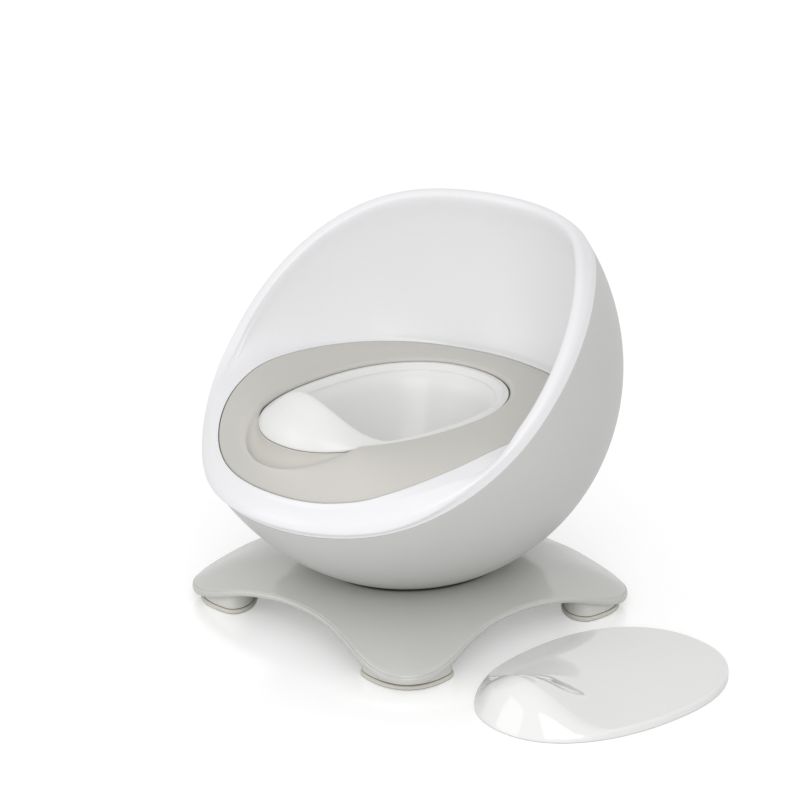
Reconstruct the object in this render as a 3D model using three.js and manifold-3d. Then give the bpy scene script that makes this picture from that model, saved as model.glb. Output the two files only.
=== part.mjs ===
// Potty chair: a ball-shaped double shell on a four-cornered base, with a lift-off seat ring,
// a lift-out pot with a splash guard, and the pot's lid set down beside the chair.
// Millimetres, +Z up, the chair faces -Y. Heights are above the floor.

import * as THREE from "three";
import { mergeVertices } from "three/addons/utils/BufferGeometryUtils.js";
import Module from "manifold-3d";

const wasm = await Module();
wasm.setup();

// Clearances
const restGap = 0.3;
const slideGap = 0.6;
const overrun = 5;
const weldGap = 1e-4;
const halvings = 40;

// Body ball: an egg-like ellipsoid whose long axis leans forward
const ball = {
  centreY: -12,
  lowHeight: 24.8,
  halfWidth: 180,
  halfLong: 210,
  halfShort: 190.5,
  lean: 43 * Math.PI / 180,
};
const ballCentreHeight = ball.lowHeight + ballDepth(0);
const shellSteps = 48;
const liftSteps = 40;

// Outer shell
const outerWall = 3.2;
const skinHeightShares = [0.001, 0.005, 0.02, 0.07, 0.16, 0.29, 0.45, 0.64, 0.82, 0.95, 1];
const seam = { startPlace: -174.6, endPlace: 145, lowHeight: 123, highHeight: 316 };
const seamShares = [
  [0, 0], [0.079, 0.021], [0.164, 0.078], [0.274, 0.202], [0.406, 0.389],
  [0.542, 0.604], [0.678, 0.8], [0.803, 0.938], [0.909, 0.995], [1, 1],
];

// Inner shell
const innerWall = 3;
const rim = { startPlace: -180, endPlace: 145, lowHeight: 135, highHeight: 332 };
const rimShares = [
  [0, 0], [0.101, 0.03], [0.176, 0.086], [0.261, 0.183], [0.357, 0.315], [0.461, 0.477],
  [0.566, 0.645], [0.671, 0.797], [0.766, 0.909], [0.849, 0.972], [0.917, 0.995], [1, 1],
];
const lip = { width: 10.5, apronWidth: 8.6, round: 6, wallDepth: 10, apronDepth: 5 };
const lipInwardShares = [0, 0.1, 0.35, 0.65, 0.92, 1];
const lipWallShares = [-1, -0.27, 0, 0, -0.37, -1];
const apronInwardShares = [0, 0.08, 0.26, 0.5, 0.76, 1];
const apronRiseShares = [-0.36, 0.14, 0.36, 0.59, 0.82, 1];
const apronRiseShare = 0.77;
const apronCurveShares = [0.35, 0.37];
const apronLandingShare = 0.45;
const wallLandingShare = 0.55;
const apronBlend = { below: -12, above: 30 };
const wallPieces = 5;
const backStations = [0, 1, 2, 4];
const tongue = { depth: 8, wall: 2 };
const deckDrop = 5.3;
const ledgeRound = 1.2;
const well = { floorHeight: 92, gap: 9, corner: 14 };
const wellBottomShare = 0.72;
const wellFlatShare = 0.6;
const wellSideShare = 0.6;

// Seat ring
const ringOutline = {
  waistY: -33,
  halfWidth: 142,
  frontReach: 134,
  backReach: 171.5,
  frontPower: 2,
  backPower: 2.25,
};
const ringEdge = { startPlace: -168, endPlace: 138.8, lowHeight: 151.5, highHeight: 194 };
const ringEdgeShares = [
  [0, 0], [0.036, 0.035], [0.068, 0.106], [0.104, 0.2], [0.147, 0.353], [0.196, 0.506],
  [0.251, 0.659], [0.303, 0.776], [0.372, 0.906], [0.437, 0.976], [0.515, 1],
  [0.613, 0.988], [0.743, 0.94], [0.873, 0.859], [1, 0.765],
];
const ringWall = 4;
const ringEdgeThickness = deckDrop - restGap;
const ringBrowHeight = 193.5;
const ringBrowRound = 2.4;
const ringSkirt = 8;
const ringTopShares = [0.04, 0.18, 0.4, 0.65, 0.88];
const ringSwellPower = 2.2;
const scoop = { span: 32 * Math.PI / 180, power: 1.3, width: 15.5, browDrop: 21.5, dip: 3.5 };
const scoopRowShares = [
  { across: 0.7, brow: 0.35, dip: 0, floor: 0.25 },
  { across: 0.3, brow: 0, dip: 0.14, floor: 0.6 },
  { across: 0.05, brow: 0, dip: 0.6, floor: 0.8 },
];

// Pot
const potOutline = {
  waistY: -18,
  halfWidth: 83.2,
  frontReach: 130,
  backReach: 105.5,
  frontPower: 2.2,
  backPower: 2.2,
};
const pot = {
  rimHeight: 191.5,
  flangeWidth: 5.4,
  flangeThickness: 3.2,
  wall: 2.6,
  floorHeight: 106,
  lipRound: 4.5,
};
const potEdgeShare = 0.6;
const potNeckShares = [0.2, 0.45, 0.7, 1, 1];
const guard = {
  span: 42 * Math.PI / 180,
  rise: 31.5,
  setback: 28,
  edgeDrop: 2.8,
  crestRound: 3,
  lipRound: 2,
};
const guardHollowShare = 0.3;
const guardFaceShares = [[0.45, 0.72], [0.85, 0.34]];
const guardInsideShare = 0.6;
const lipCornerShares = [0.6, 0.3];
const lipSetbackShare = 1.4;
const bowlShares = [[0.06, 0.1], [0.13, 0.34], [0.22, 0.6], [0.36, 0.84], [0.6, 0.97]];

// Lid
const lid = {
  wall: 2.6,
  rimHeight: 7,
  edgeRound: 2.5,
  plateHeight: 10,
  rise: 30,
  place: { x: 237, y: 24 },
};
const lidPlateShares = [0.12, 0.3, 0.55, 0.8];
const lidFaceShares = [[0.3, 0.5], [0.65, 0.85]];
const lidHollowShare = 0.62;
const lidInsetShare = 0.2;

// Base platform
const base = {
  halfWidth: 158,
  halfDepth: 152.5,
  cornerPower: 4.8,
  cornerHeight: 7.9,
  archRise: 22.7,
  archPower: 0.72,
  cornerEdge: 6,
  archEdge: 4.3,
  crownHeight: 41,
  crownPower: 5.4,
  wall: 3,
  edgeRound: 1,
};
const pinchShare = 0.289;
const pinchEaseShare = 0.133;
const cornerFlatShare = 0.74;
const cornerGatherShare = 0.6;
const baseTopShares = [0.985, 0.945, 0.88, 0.77, 0.6, 0.4, 0.25, 0.12];
const baseEdgeShares = { band: 0.5, underside: 0.7, inside: 0.25 };

// Feet: a hard cup under each corner with a soft pad beneath it
const foot = { halfWidth: 40, halfDepth: 27, reach: 159, inset: 7, outlinePower: 2.6, sides: 20 };
const footPad = { thickness: 4 };
const footCup = { inset: 1.5, floorThickness: 3 };
const footPost = { radius: 7 };
const footCupLow = footPad.thickness + restGap;
const footPostLow = footCupLow + footCup.floorThickness + restGap;

// Fasteners
const screw = { radius: 2, headRadius: 4, headHeight: 2.4, length: 14, sides: 8 };
const bossRadius = 5.5;
const baseScrewReach = 40;
const shellScrewReach = 42;
const baseScrewDepth = 4.5;
const headPocketDepth = 8;
const screwHeadShares = [0.85, 0.6];

// Soft grips between the seat ring and the inner shell
const grip = { radius: 6, reachShare: 0.8, angle: 52 * Math.PI / 180, sides: 16 };

// Turns a closed geometry into a solid that can be joined and cut.
function solidOf(geometry) {
  const bare = geometry.clone();
  for (const name of Object.keys(bare.attributes)) {
    if (name !== "position") bare.deleteAttribute(name);
  }
  const merged = mergeVertices(bare, weldGap);
  const corners = merged.index.array;
  const kept = [];
  for (let i = 0; i < corners.length; i += 3) {
    const [a, b, c] = [corners[i], corners[i + 1], corners[i + 2]];
    if (a !== b && b !== c && c !== a) kept.push(a, b, c);
  }
  const mesh = new wasm.Mesh({
    numProp: 3,
    vertProperties: new Float32Array(merged.attributes.position.array),
    triVerts: new Uint32Array(kept),
  });
  mesh.merge();
  return new wasm.Manifold(mesh);
}

function geometryOf(solid) {
  const mesh = solid.getMesh();
  const geometry = new THREE.BufferGeometry();
  geometry.setAttribute("position", new THREE.BufferAttribute(mesh.vertProperties, 3));
  geometry.setIndex(new THREE.BufferAttribute(mesh.triVerts, 1));
  geometry.computeVertexNormals();
  return geometry;
}

// A smooth curve through hand-chosen stations [place, value], level beyond both ends.
function along(stations, place) {
  const last = stations.length - 1;
  if (place <= stations[0][0]) return stations[0][1];
  if (place >= stations[last][0]) return stations[last][1];
  const slope = (i) => {
    if (i === 0 || i === last) return 0;
    const [before, after] = [stations[i - 1], stations[i + 1]];
    return (after[1] - before[1]) / (after[0] - before[0]);
  };
  let i = 0;
  while (place > stations[i + 1][0]) i += 1;
  const width = stations[i + 1][0] - stations[i][0];
  const t = (place - stations[i][0]) / width;
  const ease = t * t * (3 - 2 * t);
  const start = slope(i) * width * t * (1 - t) * (1 - t);
  const end = slope(i + 1) * width * t * t * (t - 1);
  return stations[i][1] * (1 - ease) + stations[i + 1][1] * ease + start + end;
}

function mix(a, b, share) {
  return a + (b - a) * share;
}

function smooth(low, high, value) {
  const t = Math.min(Math.max((value - low) / (high - low), 0), 1);
  return t * t * (3 - 2 * t);
}

// The ball's equation on a plane through its upright axis, for a radius and a height from its centre
function ballTerms(angle, inset) {
  const [sine, cosine] = [Math.sin(ball.lean), Math.cos(ball.lean)];
  const wide = ball.halfWidth - inset;
  const long = ball.halfLong - inset;
  const short = ball.halfShort - inset;
  const [x, y] = [Math.sin(angle), -Math.cos(angle)];
  return {
    across: (x / wide) ** 2 + (y * cosine / short) ** 2 + (y * sine / long) ** 2,
    both: 2 * y * sine * cosine * (1 / short ** 2 - 1 / long ** 2),
    upward: (sine / short) ** 2 + (cosine / long) ** 2,
  };
}

// Distance from the ball's upright axis to its surface, at an angle from the front.
function ballRadius(angle, height, inset) {
  const { across, both, upward } = ballTerms(angle, inset);
  const up = height - ballCentreHeight;
  const root = (both * up) ** 2 - 4 * across * (upward * up * up - 1);
  return root <= 0 ? 0 : (-both * up + Math.sqrt(root)) / (2 * across);
}

// Distance from the ball's centre down to its lowest point
function ballDepth(inset) {
  const [sine, cosine] = [Math.sin(ball.lean), Math.cos(ball.lean)];
  return Math.hypot((ball.halfShort - inset) * sine, (ball.halfLong - inset) * cosine);
}

function ballLowest(inset) {
  return ballCentreHeight - ballDepth(inset);
}

// The ball's lowest point lies behind its upright axis, so each section has a low point of its own.
function sectionLowest(angle, inset) {
  const { across, both, upward } = ballTerms(angle, inset);
  const flat = both > 0 ? upward - both ** 2 / (4 * across) : upward;
  return ballCentreHeight - 1 / Math.sqrt(flat);
}

function yAt(angle, radius) {
  return ball.centreY - radius * Math.cos(angle);
}

// Height of an edge line, which climbs from its start place in front to its end place at the back
function edgeHeight(edge, shares, y) {
  const place = (y - edge.startPlace) / (edge.endPlace - edge.startPlace);
  return mix(edge.lowHeight, edge.highHeight, along(shares, place));
}

// Height at which a falling edge line crosses the ball, at an angle from the front.
function crossing(edge, shares, angle) {
  let low = ballLowest(0);
  let high = 2 * ballCentreHeight - low;
  for (let i = 0; i < halvings; i += 1) {
    const middle = (low + high) / 2;
    const line = edgeHeight(edge, shares, yAt(angle, ballRadius(angle, middle, 0)));
    if (middle < line) low = middle;
    else high = middle;
  }
  return (low + high) / 2;
}

// Distance from the chair's upright axis to an egg-shaped outline, at an angle from the front.
function outlineRadius(outline, angle) {
  let low = 0;
  let high = outline.frontReach + outline.backReach;
  for (let i = 0; i < halvings; i += 1) {
    const middle = (low + high) / 2;
    const x = Math.abs(middle * Math.sin(angle)) / outline.halfWidth;
    const y = yAt(angle, middle) - outline.waistY;
    const power = y < 0 ? outline.frontPower : outline.backPower;
    const reach = y < 0 ? outline.frontReach : outline.backReach;
    if (x ** power + (Math.abs(y) / reach) ** power < 1) low = middle;
    else high = middle;
  }
  return (low + high) / 2;
}

// Joins sections, each a list of [radius, height] at an angle from the front, into one solid.
// The angles can be gathered towards the four diagonals by a share.
function loft(sectionAt, count, centreY, gatherShare = 0) {
  const angleOf = (i) => {
    const even = i * 2 * Math.PI / count;
    return even + gatherShare / 4 * Math.sin(4 * even);
  };
  const rows = [];
  for (let i = 0; i < count; i += 1) rows.push(sectionAt(angleOf(i)));
  const size = rows[0].length;
  const positions = [];
  rows.forEach((row, i) => {
    const angle = angleOf(i);
    for (const [radius, height] of row) {
      positions.push(radius * Math.sin(angle), centreY - radius * Math.cos(angle), height);
    }
  });
  const open = rows[0][0][0] === 0;
  const index = [];
  for (let i = 0; i < count; i += 1) {
    const next = (i + 1) % count;
    for (let j = 0; j < (open ? size - 1 : size); j += 1) {
      const above = (j + 1) % size;
      const [a, b] = [i * size + j, next * size + j];
      const [c, d] = [next * size + above, i * size + above];
      index.push(a, b, c, a, c, d);
    }
  }
  const geometry = new THREE.BufferGeometry();
  geometry.setAttribute("position", new THREE.Float32BufferAttribute(positions, 3));
  geometry.setIndex(index);
  return outward(geometry);
}

// Turns a closed geometry's faces outward if its volume comes out negative.
function outward(geometry) {
  const position = geometry.attributes.position;
  const corners = geometry.index.array;
  const [a, b, c] = [new THREE.Vector3(), new THREE.Vector3(), new THREE.Vector3()];
  let volume = 0;
  for (let i = 0; i < corners.length; i += 3) {
    a.fromBufferAttribute(position, corners[i]);
    b.fromBufferAttribute(position, corners[i + 1]);
    c.fromBufferAttribute(position, corners[i + 2]);
    volume += a.dot(b.cross(c));
  }
  if (volume > 0) return geometry;
  const turned = [];
  for (let i = 0; i < corners.length; i += 3) turned.push(corners[i], corners[i + 2], corners[i + 1]);
  geometry.setIndex(turned);
  return geometry;
}

function cylinder(x, y, low, high, radius, sides) {
  const geometry = new THREE.CylinderGeometry(radius, radius, high - low, sides);
  geometry.rotateX(Math.PI / 2);
  geometry.translate(x, y, (low + high) / 2);
  return solidOf(geometry);
}

function polar(reach, angle) {
  return { x: reach * Math.sin(angle), y: -reach * Math.cos(angle) };
}

const quarters = [0, 1, 2, 3].map((i) => i * Math.PI / 2);
const baseScrewPlaces = quarters.map((angle) => polar(baseScrewReach, angle));
const shellScrewPlaces = quarters.map((angle) => polar(shellScrewReach, angle + Math.PI / 4));
const cornerTurn = Math.atan2(base.halfWidth, base.halfDepth);
const cornerAngles = [cornerTurn, Math.PI - cornerTurn, Math.PI + cornerTurn, -cornerTurn];

// Height of the ball's underside over a place on the floor plane.
function ballUnder(x, y, inset) {
  const angle = Math.atan2(x, ball.centreY - y);
  const reach = Math.hypot(x, ball.centreY - y);
  let low = ballLowest(inset);
  let high = ballCentreHeight;
  for (let i = 0; i < halvings; i += 1) {
    const middle = (low + high) / 2;
    if (ballRadius(angle, middle, inset) < reach) low = middle;
    else high = middle;
  }
  return (low + high) / 2;
}

// Height under the ball at which a base screw's head sits
function baseScrewSeat(x, y) {
  return ballUnder(x, y, 0) - baseScrewDepth;
}

// The ball's surface below the seam, from its upright axis outward
function ballSkin(angle, inset) {
  const top = crossing(seam, seamShares, angle);
  const low = sectionLowest(angle, inset);
  const skin = skinHeightShares.map((share) => {
    const height = mix(low, top, share);
    return [ballRadius(angle, height, inset), height];
  });
  return [[0, sectionLowest(0, inset)], ...skin];
}

// The ball filled up to its middle, shrunk or grown by an inset
function ballCore(inset) {
  return solidOf(loft((angle) => {
    return [...ballSkin(angle, inset), [0, ballCentreHeight]];
  }, shellSteps, ball.centreY));
}

// Outer shell: the lower ball up to the seam, open at the top
function outerShell() {
  const core = ballCore(outerWall / 2);
  const shape = loft((angle) => {
    return [...ballSkin(angle, 0), ...ballSkin(angle, outerWall).reverse()];
  }, shellSteps, ball.centreY);
  let solid = solidOf(shape);
  for (const { x, y } of baseScrewPlaces) {
    const low = ballUnder(x, y, 0) - overrun;
    const tip = baseScrewSeat(x, y) + screw.length + restGap;
    const boss = cylinder(x, y, low, tip + outerWall, bossRadius, screw.sides);
    solid = solid.add(boss.intersect(core));
    solid = solid.subtract(cylinder(x, y, low, tip, screw.radius + restGap, screw.sides));
  }
  for (const { x, y } of shellScrewPlaces) {
    const outside = ballUnder(x, y, 0);
    const pocket = outside + headPocketDepth;
    const collar = pocket + outerWall;
    const wide = screw.headRadius + restGap;
    const boss = cylinder(x, y, outside - overrun, collar, wide + outerWall, screw.sides);
    solid = solid.add(boss.intersect(core));
    solid = solid.subtract(cylinder(x, y, outside - overrun, pocket, wide, screw.sides));
    const through = screw.radius + restGap;
    solid = solid.subtract(cylinder(x, y, pocket - overrun, collar + overrun, through, screw.sides));
  }
  return solid;
}

// Inner shell: well, deck for the seat ring, bowl wall, rolled lip, apron and seam tongue
function innerShellSection(angle) {
  const rimHeight = crossing(rim, rimShares, angle);
  const rimRadius = ballRadius(angle, rimHeight, 0);
  const seamHeight = crossing(seam, seamShares, angle) + restGap;
  const edgeRadius = outlineRadius(ringOutline, angle);
  const edge = edgeHeight(ringEdge, ringEdgeShares, yAt(angle, edgeRadius));
  const wallShare = smooth(apronBlend.below, apronBlend.above, rimHeight - edge);
  const apronRise = (edge - rimHeight) * apronRiseShare;

  const lipPoints = lipInwardShares.map((inward, i) => {
    const across = mix(apronInwardShares[i] * lip.apronWidth, inward * lip.width, wallShare);
    const rise = mix(apronRiseShares[i] * apronRise, lipWallShares[i] * lip.round, wallShare);
    return [rimRadius - across, rimHeight + rise];
  });
  const lipLow = lipPoints[0];
  lipLow[0] = mix(lipLow[0], ballRadius(angle, lipLow[1], 0), wallShare);
  const [innerRadius, innerHeight] = lipPoints[lipPoints.length - 1];

  const ledgeRadius = edgeRadius + slideGap;
  const landing = [ledgeRadius + ledgeRound, edge + restGap];
  const midHeight = mix(innerHeight, landing[1], 0.5);
  const swell = ballRadius(angle, midHeight, 0) - ballRadius(angle, innerHeight, 0);
  const [curveIn, curveUp] = apronCurveShares;
  const landingRise = mix(mix(landing[1], innerHeight, apronLandingShare), landing[1], wallShare);
  const curve = new THREE.CubicBezierCurve(
    new THREE.Vector2(innerRadius, innerHeight),
    new THREE.Vector2(
      mix(mix(innerRadius, landing[0], curveIn), innerRadius + swell, wallShare),
      mix(mix(innerHeight, landing[1], curveUp), midHeight, wallShare),
    ),
    new THREE.Vector2(mix(landing[0], innerRadius, wallLandingShare), landingRise),
    new THREE.Vector2(...landing),
  );
  const wall = curve.getPoints(wallPieces).slice(1).map((point) => {
    const limit = ballRadius(angle, point.y, lip.width);
    const radius = wallShare > 0 && point.y < innerHeight ? Math.min(point.x, limit) : point.x;
    return [radius, point.y];
  });

  const deck = edge - deckDrop;
  const potRadius = outlineRadius(potOutline, angle);
  const wellRadius = potRadius + well.gap;
  const wellBottom = wellRadius * wellBottomShare;
  const wellSide = mix(wellBottom, wellRadius, wellSideShare);
  const tongueOuter = (height) => ballRadius(angle, height, outerWall + slideGap);
  const tongueInner = (height) => ballRadius(angle, height, outerWall + slideGap + tongue.wall);
  const underLip = rimHeight - mix(lip.apronDepth, lip.wallDepth, wallShare);
  const chain = [lipPoints[lipPoints.length - 1], ...wall];
  const back = backStations.map((station, i) => {
    const before = chain[Math.max(station - 1, 0)];
    const after = chain[Math.min(station + 1, chain.length - 1)];
    const run = [after[0] - before[0], after[1] - before[1]];
    const length = Math.hypot(...run);
    const radius = chain[station][0] - run[1] / length * innerWall;
    const height = chain[station][1] + run[0] / length * innerWall;
    const share = (i + 1) / (backStations.length + 1);
    return [
      mix(mix(tongueInner(underLip), ledgeRadius + innerWall, share), radius, wallShare),
      mix(mix(underLip, deck - innerWall, share), height, wallShare),
    ];
  });
  const outsideMid = mix(seamHeight, lipPoints[0][1], 0.5);
  return [
    [0, well.floorHeight],
    [wellBottom * wellFlatShare, well.floorHeight],
    [wellBottom, well.floorHeight + well.corner / 4],
    [wellSide, well.floorHeight + well.corner],
    [wellRadius, deck - ledgeRound],
    [wellRadius + ledgeRound, deck],
    [ledgeRadius, deck],
    [ledgeRadius, edge - restGap],
    ...wall.reverse(),
    ...lipPoints.reverse(),
    [ballRadius(angle, outsideMid, 0), outsideMid],
    [ballRadius(angle, seamHeight, 0), seamHeight],
    [tongueOuter(seamHeight), seamHeight],
    [tongueOuter(seamHeight - tongue.depth), seamHeight - tongue.depth],
    [tongueInner(seamHeight - tongue.depth), seamHeight - tongue.depth],
    [tongueInner(underLip), underLip],
    ...back,
    [ledgeRadius + innerWall, deck - innerWall],
    [wellRadius + innerWall, deck - innerWall],
    [wellSide + innerWall, well.floorHeight + well.corner - innerWall],
    [wellBottom + innerWall, well.floorHeight + well.corner / 4 - innerWall],
    [wellBottom * wellFlatShare, well.floorHeight - innerWall],
    [0, well.floorHeight - innerWall],
  ];
}

function innerShell() {
  let solid = solidOf(loft(innerShellSection, shellSteps, ball.centreY));
  for (const { x, y } of shellScrewPlaces) {
    const collar = ballUnder(x, y, 0) + headPocketDepth + outerWall;
    const low = collar + restGap;
    solid = solid.add(cylinder(x, y, low, well.floorHeight - innerWall / 2, bossRadius, screw.sides));
    const tip = ballUnder(x, y, 0) + headPocketDepth + screw.length + overrun;
    solid = solid.subtract(cylinder(x, y, low - overrun, tip, screw.radius + restGap, screw.sides));
  }
  return solid;
}

// Share of the finger scoop at an angle: 1 at the front, 0 past its span
function scoopShare(angle) {
  const turn = Math.abs(Math.atan2(Math.sin(angle), Math.cos(angle)));
  return Math.max(1 - (turn / scoop.span) ** 2, 0) ** scoop.power;
}

// Share of the splash guard at an angle: 1 at the front, 0 past its span
function guardShare(angle) {
  const turn = Math.abs(Math.atan2(Math.sin(angle), Math.cos(angle)));
  return turn < guard.span ? Math.cos(Math.PI / 2 * turn / guard.span) ** 2 : 0;
}

// Height of the pot's resting edge, which dips where the guard stands over the finger scoop
function potEdgeLow(angle) {
  return pot.rimHeight - pot.flangeThickness - guard.edgeDrop * scoopShare(angle);
}

// Seat ring: a saddle-shaped shell with a rebate for the pot and a finger scoop in front
function ringSection(angle) {
  const share = scoopShare(angle);
  const edgeRadius = outlineRadius(ringOutline, angle);
  const edge = edgeHeight(ringEdge, ringEdgeShares, yAt(angle, edgeRadius));
  const potRadius = outlineRadius(potOutline, angle) + slideGap;
  const browRadius = potRadius + mix(ringBrowRound, scoop.width, share);
  const brow = ringBrowHeight - scoop.browDrop * share;
  const floor = potEdgeLow(angle) - restGap;
  const skirt = potRadius - pot.flangeWidth;
  const top = ringTopShares.map((step) => {
    const radius = mix(browRadius, edgeRadius, step);
    return [radius, edge + (brow - edge) * (1 - step ** ringSwellPower)];
  });
  const under = top.map(([radius, height]) => {
    return [Math.min(radius, edgeRadius - ringWall), Math.max(height - ringWall, edge - ringWall / 2)];
  });
  const hollow = scoopRowShares.map((row) => {
    const radius = mix(ringBrowRound * row.brow, scoop.width * row.across, share);
    const dip = mix(brow - scoop.dip, floor, row.dip);
    return [potRadius + radius, mix(mix(brow, floor, row.floor), dip, share)];
  });
  const [dipRadius, dipHeight] = hollow[0];
  return [
    [edgeRadius, edge],
    ...top.reverse(),
    ...hollow,
    [potRadius, floor],
    [skirt, floor],
    [skirt, floor - ringSkirt],
    [skirt + ringWall / 2, floor - ringSkirt],
    [dipRadius, mix(floor - ringWall / 2, dipHeight - ringWall, share)],
    ...under,
    [edgeRadius - ringWall, edge - ringEdgeThickness],
    [edgeRadius, edge - ringEdgeThickness],
  ];
}

function seatRing() {
  return solidOf(loft(ringSection, shellSteps, ball.centreY));
}

// Pot: bowl with a thin resting flange and a splash guard that rises in front
function potSection(angle) {
  const share = guardShare(angle);
  const outside = outlineRadius(potOutline, angle) - slideGap;
  const low = potEdgeLow(angle);
  const edgeTop = low + pot.flangeThickness * potEdgeShare;
  const round = mix(pot.lipRound, guard.lipRound, share);
  const setback = mix(pot.lipRound * lipSetbackShare, guard.setback, Math.sqrt(share));
  const crest = pot.rimHeight + guard.rise * share;
  const crestRadius = outside - setback;
  const neck = outside - pot.flangeWidth - slideGap;
  const top = crestRadius - guard.crestRound * share - round;
  const inside = Math.min(top, neck - pot.wall);
  const shelf = pot.rimHeight - pot.flangeThickness - pot.lipRound / 2;
  const bowl = bowlShares.map(([across, down]) => {
    return [inside * (1 - across), mix(shelf, pot.floorHeight, down)];
  });
  const face = guardFaceShares.map(([across, up]) => {
    return [mix(crestRadius, outside, across), mix(edgeTop, crest, up)];
  });
  const hollow = [
    [outside - pot.wall, low],
    [face[1][0] - pot.wall, face[1][1] - pot.wall],
    [face[0][0] - pot.wall / 2, face[0][1] - pot.wall],
    [inside + pot.wall, crest - pot.wall * 2],
    [inside + pot.wall, shelf],
  ];
  const flat = potNeckShares.map((across, i) => {
    return [mix(outside, neck, across), low - (i === hollow.length - 1 ? pot.wall : 0)];
  });
  const blend = smooth(0, guardHollowShare, share);
  const [cornerIn, cornerDown] = lipCornerShares;
  const beneath = flat.map(([radius, height], i) => {
    return [mix(radius, hollow[i][0], blend), mix(height, hollow[i][1], blend)];
  });
  const under = bowl.map(([radius, height]) => [radius + pot.wall, height - pot.wall]);
  return [
    [0, pot.floorHeight],
    ...bowl.slice().reverse(),
    [inside, shelf],
    [top, mix(pot.rimHeight, crest, guardInsideShare) - round],
    [top + round * cornerIn, crest - round * cornerDown],
    [crestRadius, crest],
    ...face,
    [outside, edgeTop],
    [outside, low],
    ...beneath,
    ...under,
    [0, pot.floorHeight - pot.wall],
  ];
}

function potBowl() {
  return solidOf(loft(potSection, liftSteps, ball.centreY));
}

// Lid: the pot's outline with a rim wall, a shallow plate and a hump that clears the guard
function lidSection(angle) {
  const share = guardShare(angle);
  const outside = outlineRadius(potOutline, angle);
  const setback = mix(lid.edgeRound, guard.setback, Math.sqrt(share));
  const crestRadius = outside - setback;
  const crest = lid.rimHeight + lid.edgeRound / 2 + lid.rise * share;
  const edgeTop = mix(lid.rimHeight - lid.edgeRound / 2, lid.edgeRound, Math.sqrt(share));
  const plate = lidPlateShares.map((step) => {
    const height = mix(crest, lid.plateHeight, smooth(0, lidHollowShare, step));
    return [crestRadius * (1 - step), height];
  });
  const face = lidFaceShares.map(([across, up]) => {
    return [mix(outside, crestRadius, across), mix(edgeTop, crest, up)];
  });
  const top = [
    [outside, edgeTop],
    ...face,
    [crestRadius, crest],
    ...plate,
    [0, lid.plateHeight],
  ];
  const inside = outside - lid.wall;
  const under = top.slice(1).map(([radius, height]) => {
    return [Math.min(radius, inside - lid.wall * lidInsetShare), Math.max(height - lid.wall, restGap)];
  });
  under[under.length - 1][0] = 0;
  return [...top.reverse(), [outside, 0], [inside, 0], ...under];
}

function potLid() {
  return solidOf(loft(lidSection, liftSteps, ball.centreY)).translate([lid.place.x, lid.place.y, 0]);
}

// Base platform: a rounded square with arched sides, crowned, with a cup for the ball
function baseReach(angle) {
  const x = Math.abs(Math.sin(angle)) / base.halfWidth;
  const y = Math.abs(Math.cos(angle)) / base.halfDepth;
  const square = (x ** base.cornerPower + y ** base.cornerPower) ** (-1 / base.cornerPower);
  const turn = sideShare(angle);
  return square * (1 - pinchShare * turn ** 2 + pinchEaseShare * turn ** 4);
}

// Share of the way round from a corner of the platform, at 0, to the middle of a side, at 1
function sideShare(angle) {
  const x = (Math.sin(angle) / base.halfWidth) ** 2;
  const y = (Math.cos(angle) / base.halfDepth) ** 2;
  return Math.abs(x - y) / (x + y);
}

function baseTop(angle, share) {
  const turn = sideShare(angle);
  const arch = turn ** base.archPower * smooth(0, cornerFlatShare, turn);
  const low = base.cornerHeight + base.archRise * arch;
  const edge = low + mix(base.cornerEdge, base.archEdge, arch);
  return { low, edge, height: mix(base.crownHeight, edge, share ** base.crownPower) };
}

// Points along the platform's top surface, from near its edge inward
function baseTopLine(angle) {
  return baseTopShares.map((share) => {
    return [baseReach(angle) * share, baseTop(angle, share).height];
  });
}

function baseSection(angle) {
  const reach = baseReach(angle);
  const { low, edge } = baseTop(angle, 1);
  const top = baseTopLine(angle);
  const inside = reach - base.wall;
  const draft = base.edgeRound * baseEdgeShares.underside;
  const under = top.map(([radius, height]) => {
    const place = polar(radius, angle);
    const cup = ballUnder(place.x, place.y, -restGap) - base.wall;
    return [Math.min(radius, inside), Math.min(height - base.wall, cup)];
  });
  const cupCentre = ballUnder(0, 0, -restGap) - base.wall;
  return [
    [0, base.crownHeight],
    ...top.reverse(),
    [reach - base.edgeRound, edge],
    [reach, mix(low, edge, baseEdgeShares.band)],
    [reach - draft, low],
    [inside - draft, low],
    [inside - draft, mix(low, edge, baseEdgeShares.inside)],
    ...under,
    [0, cupCentre],
  ];
}

function basePlatform() {
  let solid = solidOf(loft(baseSection, shellSteps, 0, cornerGatherShare));
  const fill = baseFill(base.wall, base.wall / 2);
  for (const { x, y } of baseScrewPlaces) {
    const low = baseScrewSeat(x, y) + restGap;
    solid = solid.add(cylinder(x, y, low, ballUnder(x, y, 0), bossRadius, screw.sides));
  }
  for (const angle of cornerAngles) {
    const { x, y } = polar(foot.reach, angle);
    const post = cylinder(x, y, footPostLow, base.crownHeight, footPost.radius, screw.sides);
    solid = solid.add(post.intersect(fill));
    const tip = footCupLow + screw.length + restGap;
    const bore = screw.radius + restGap;
    solid = solid.subtract(cylinder(x, y, footPostLow - overrun, tip, bore, screw.sides));
  }
  solid = solid.subtract(ballCore(-restGap));
  for (const { x, y } of baseScrewPlaces) {
    const low = baseScrewSeat(x, y) - overrun;
    const high = ballUnder(x, y, 0) + overrun;
    solid = solid.subtract(cylinder(x, y, low, high, screw.radius + restGap, screw.sides));
  }
  return solid;
}

// The platform filled down to the floor, drawn in from its outline and from its top
function baseFill(inset, depth) {
  return solidOf(loft((angle) => {
    const reach = baseReach(angle) - inset;
    const top = baseTopLine(angle).map(([radius, height]) => [Math.min(radius, reach), height - depth]);
    return [[0, 0], [reach, 0], ...top, [0, base.crownHeight - depth]];
  }, shellSteps, 0, cornerGatherShare));
}

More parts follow.
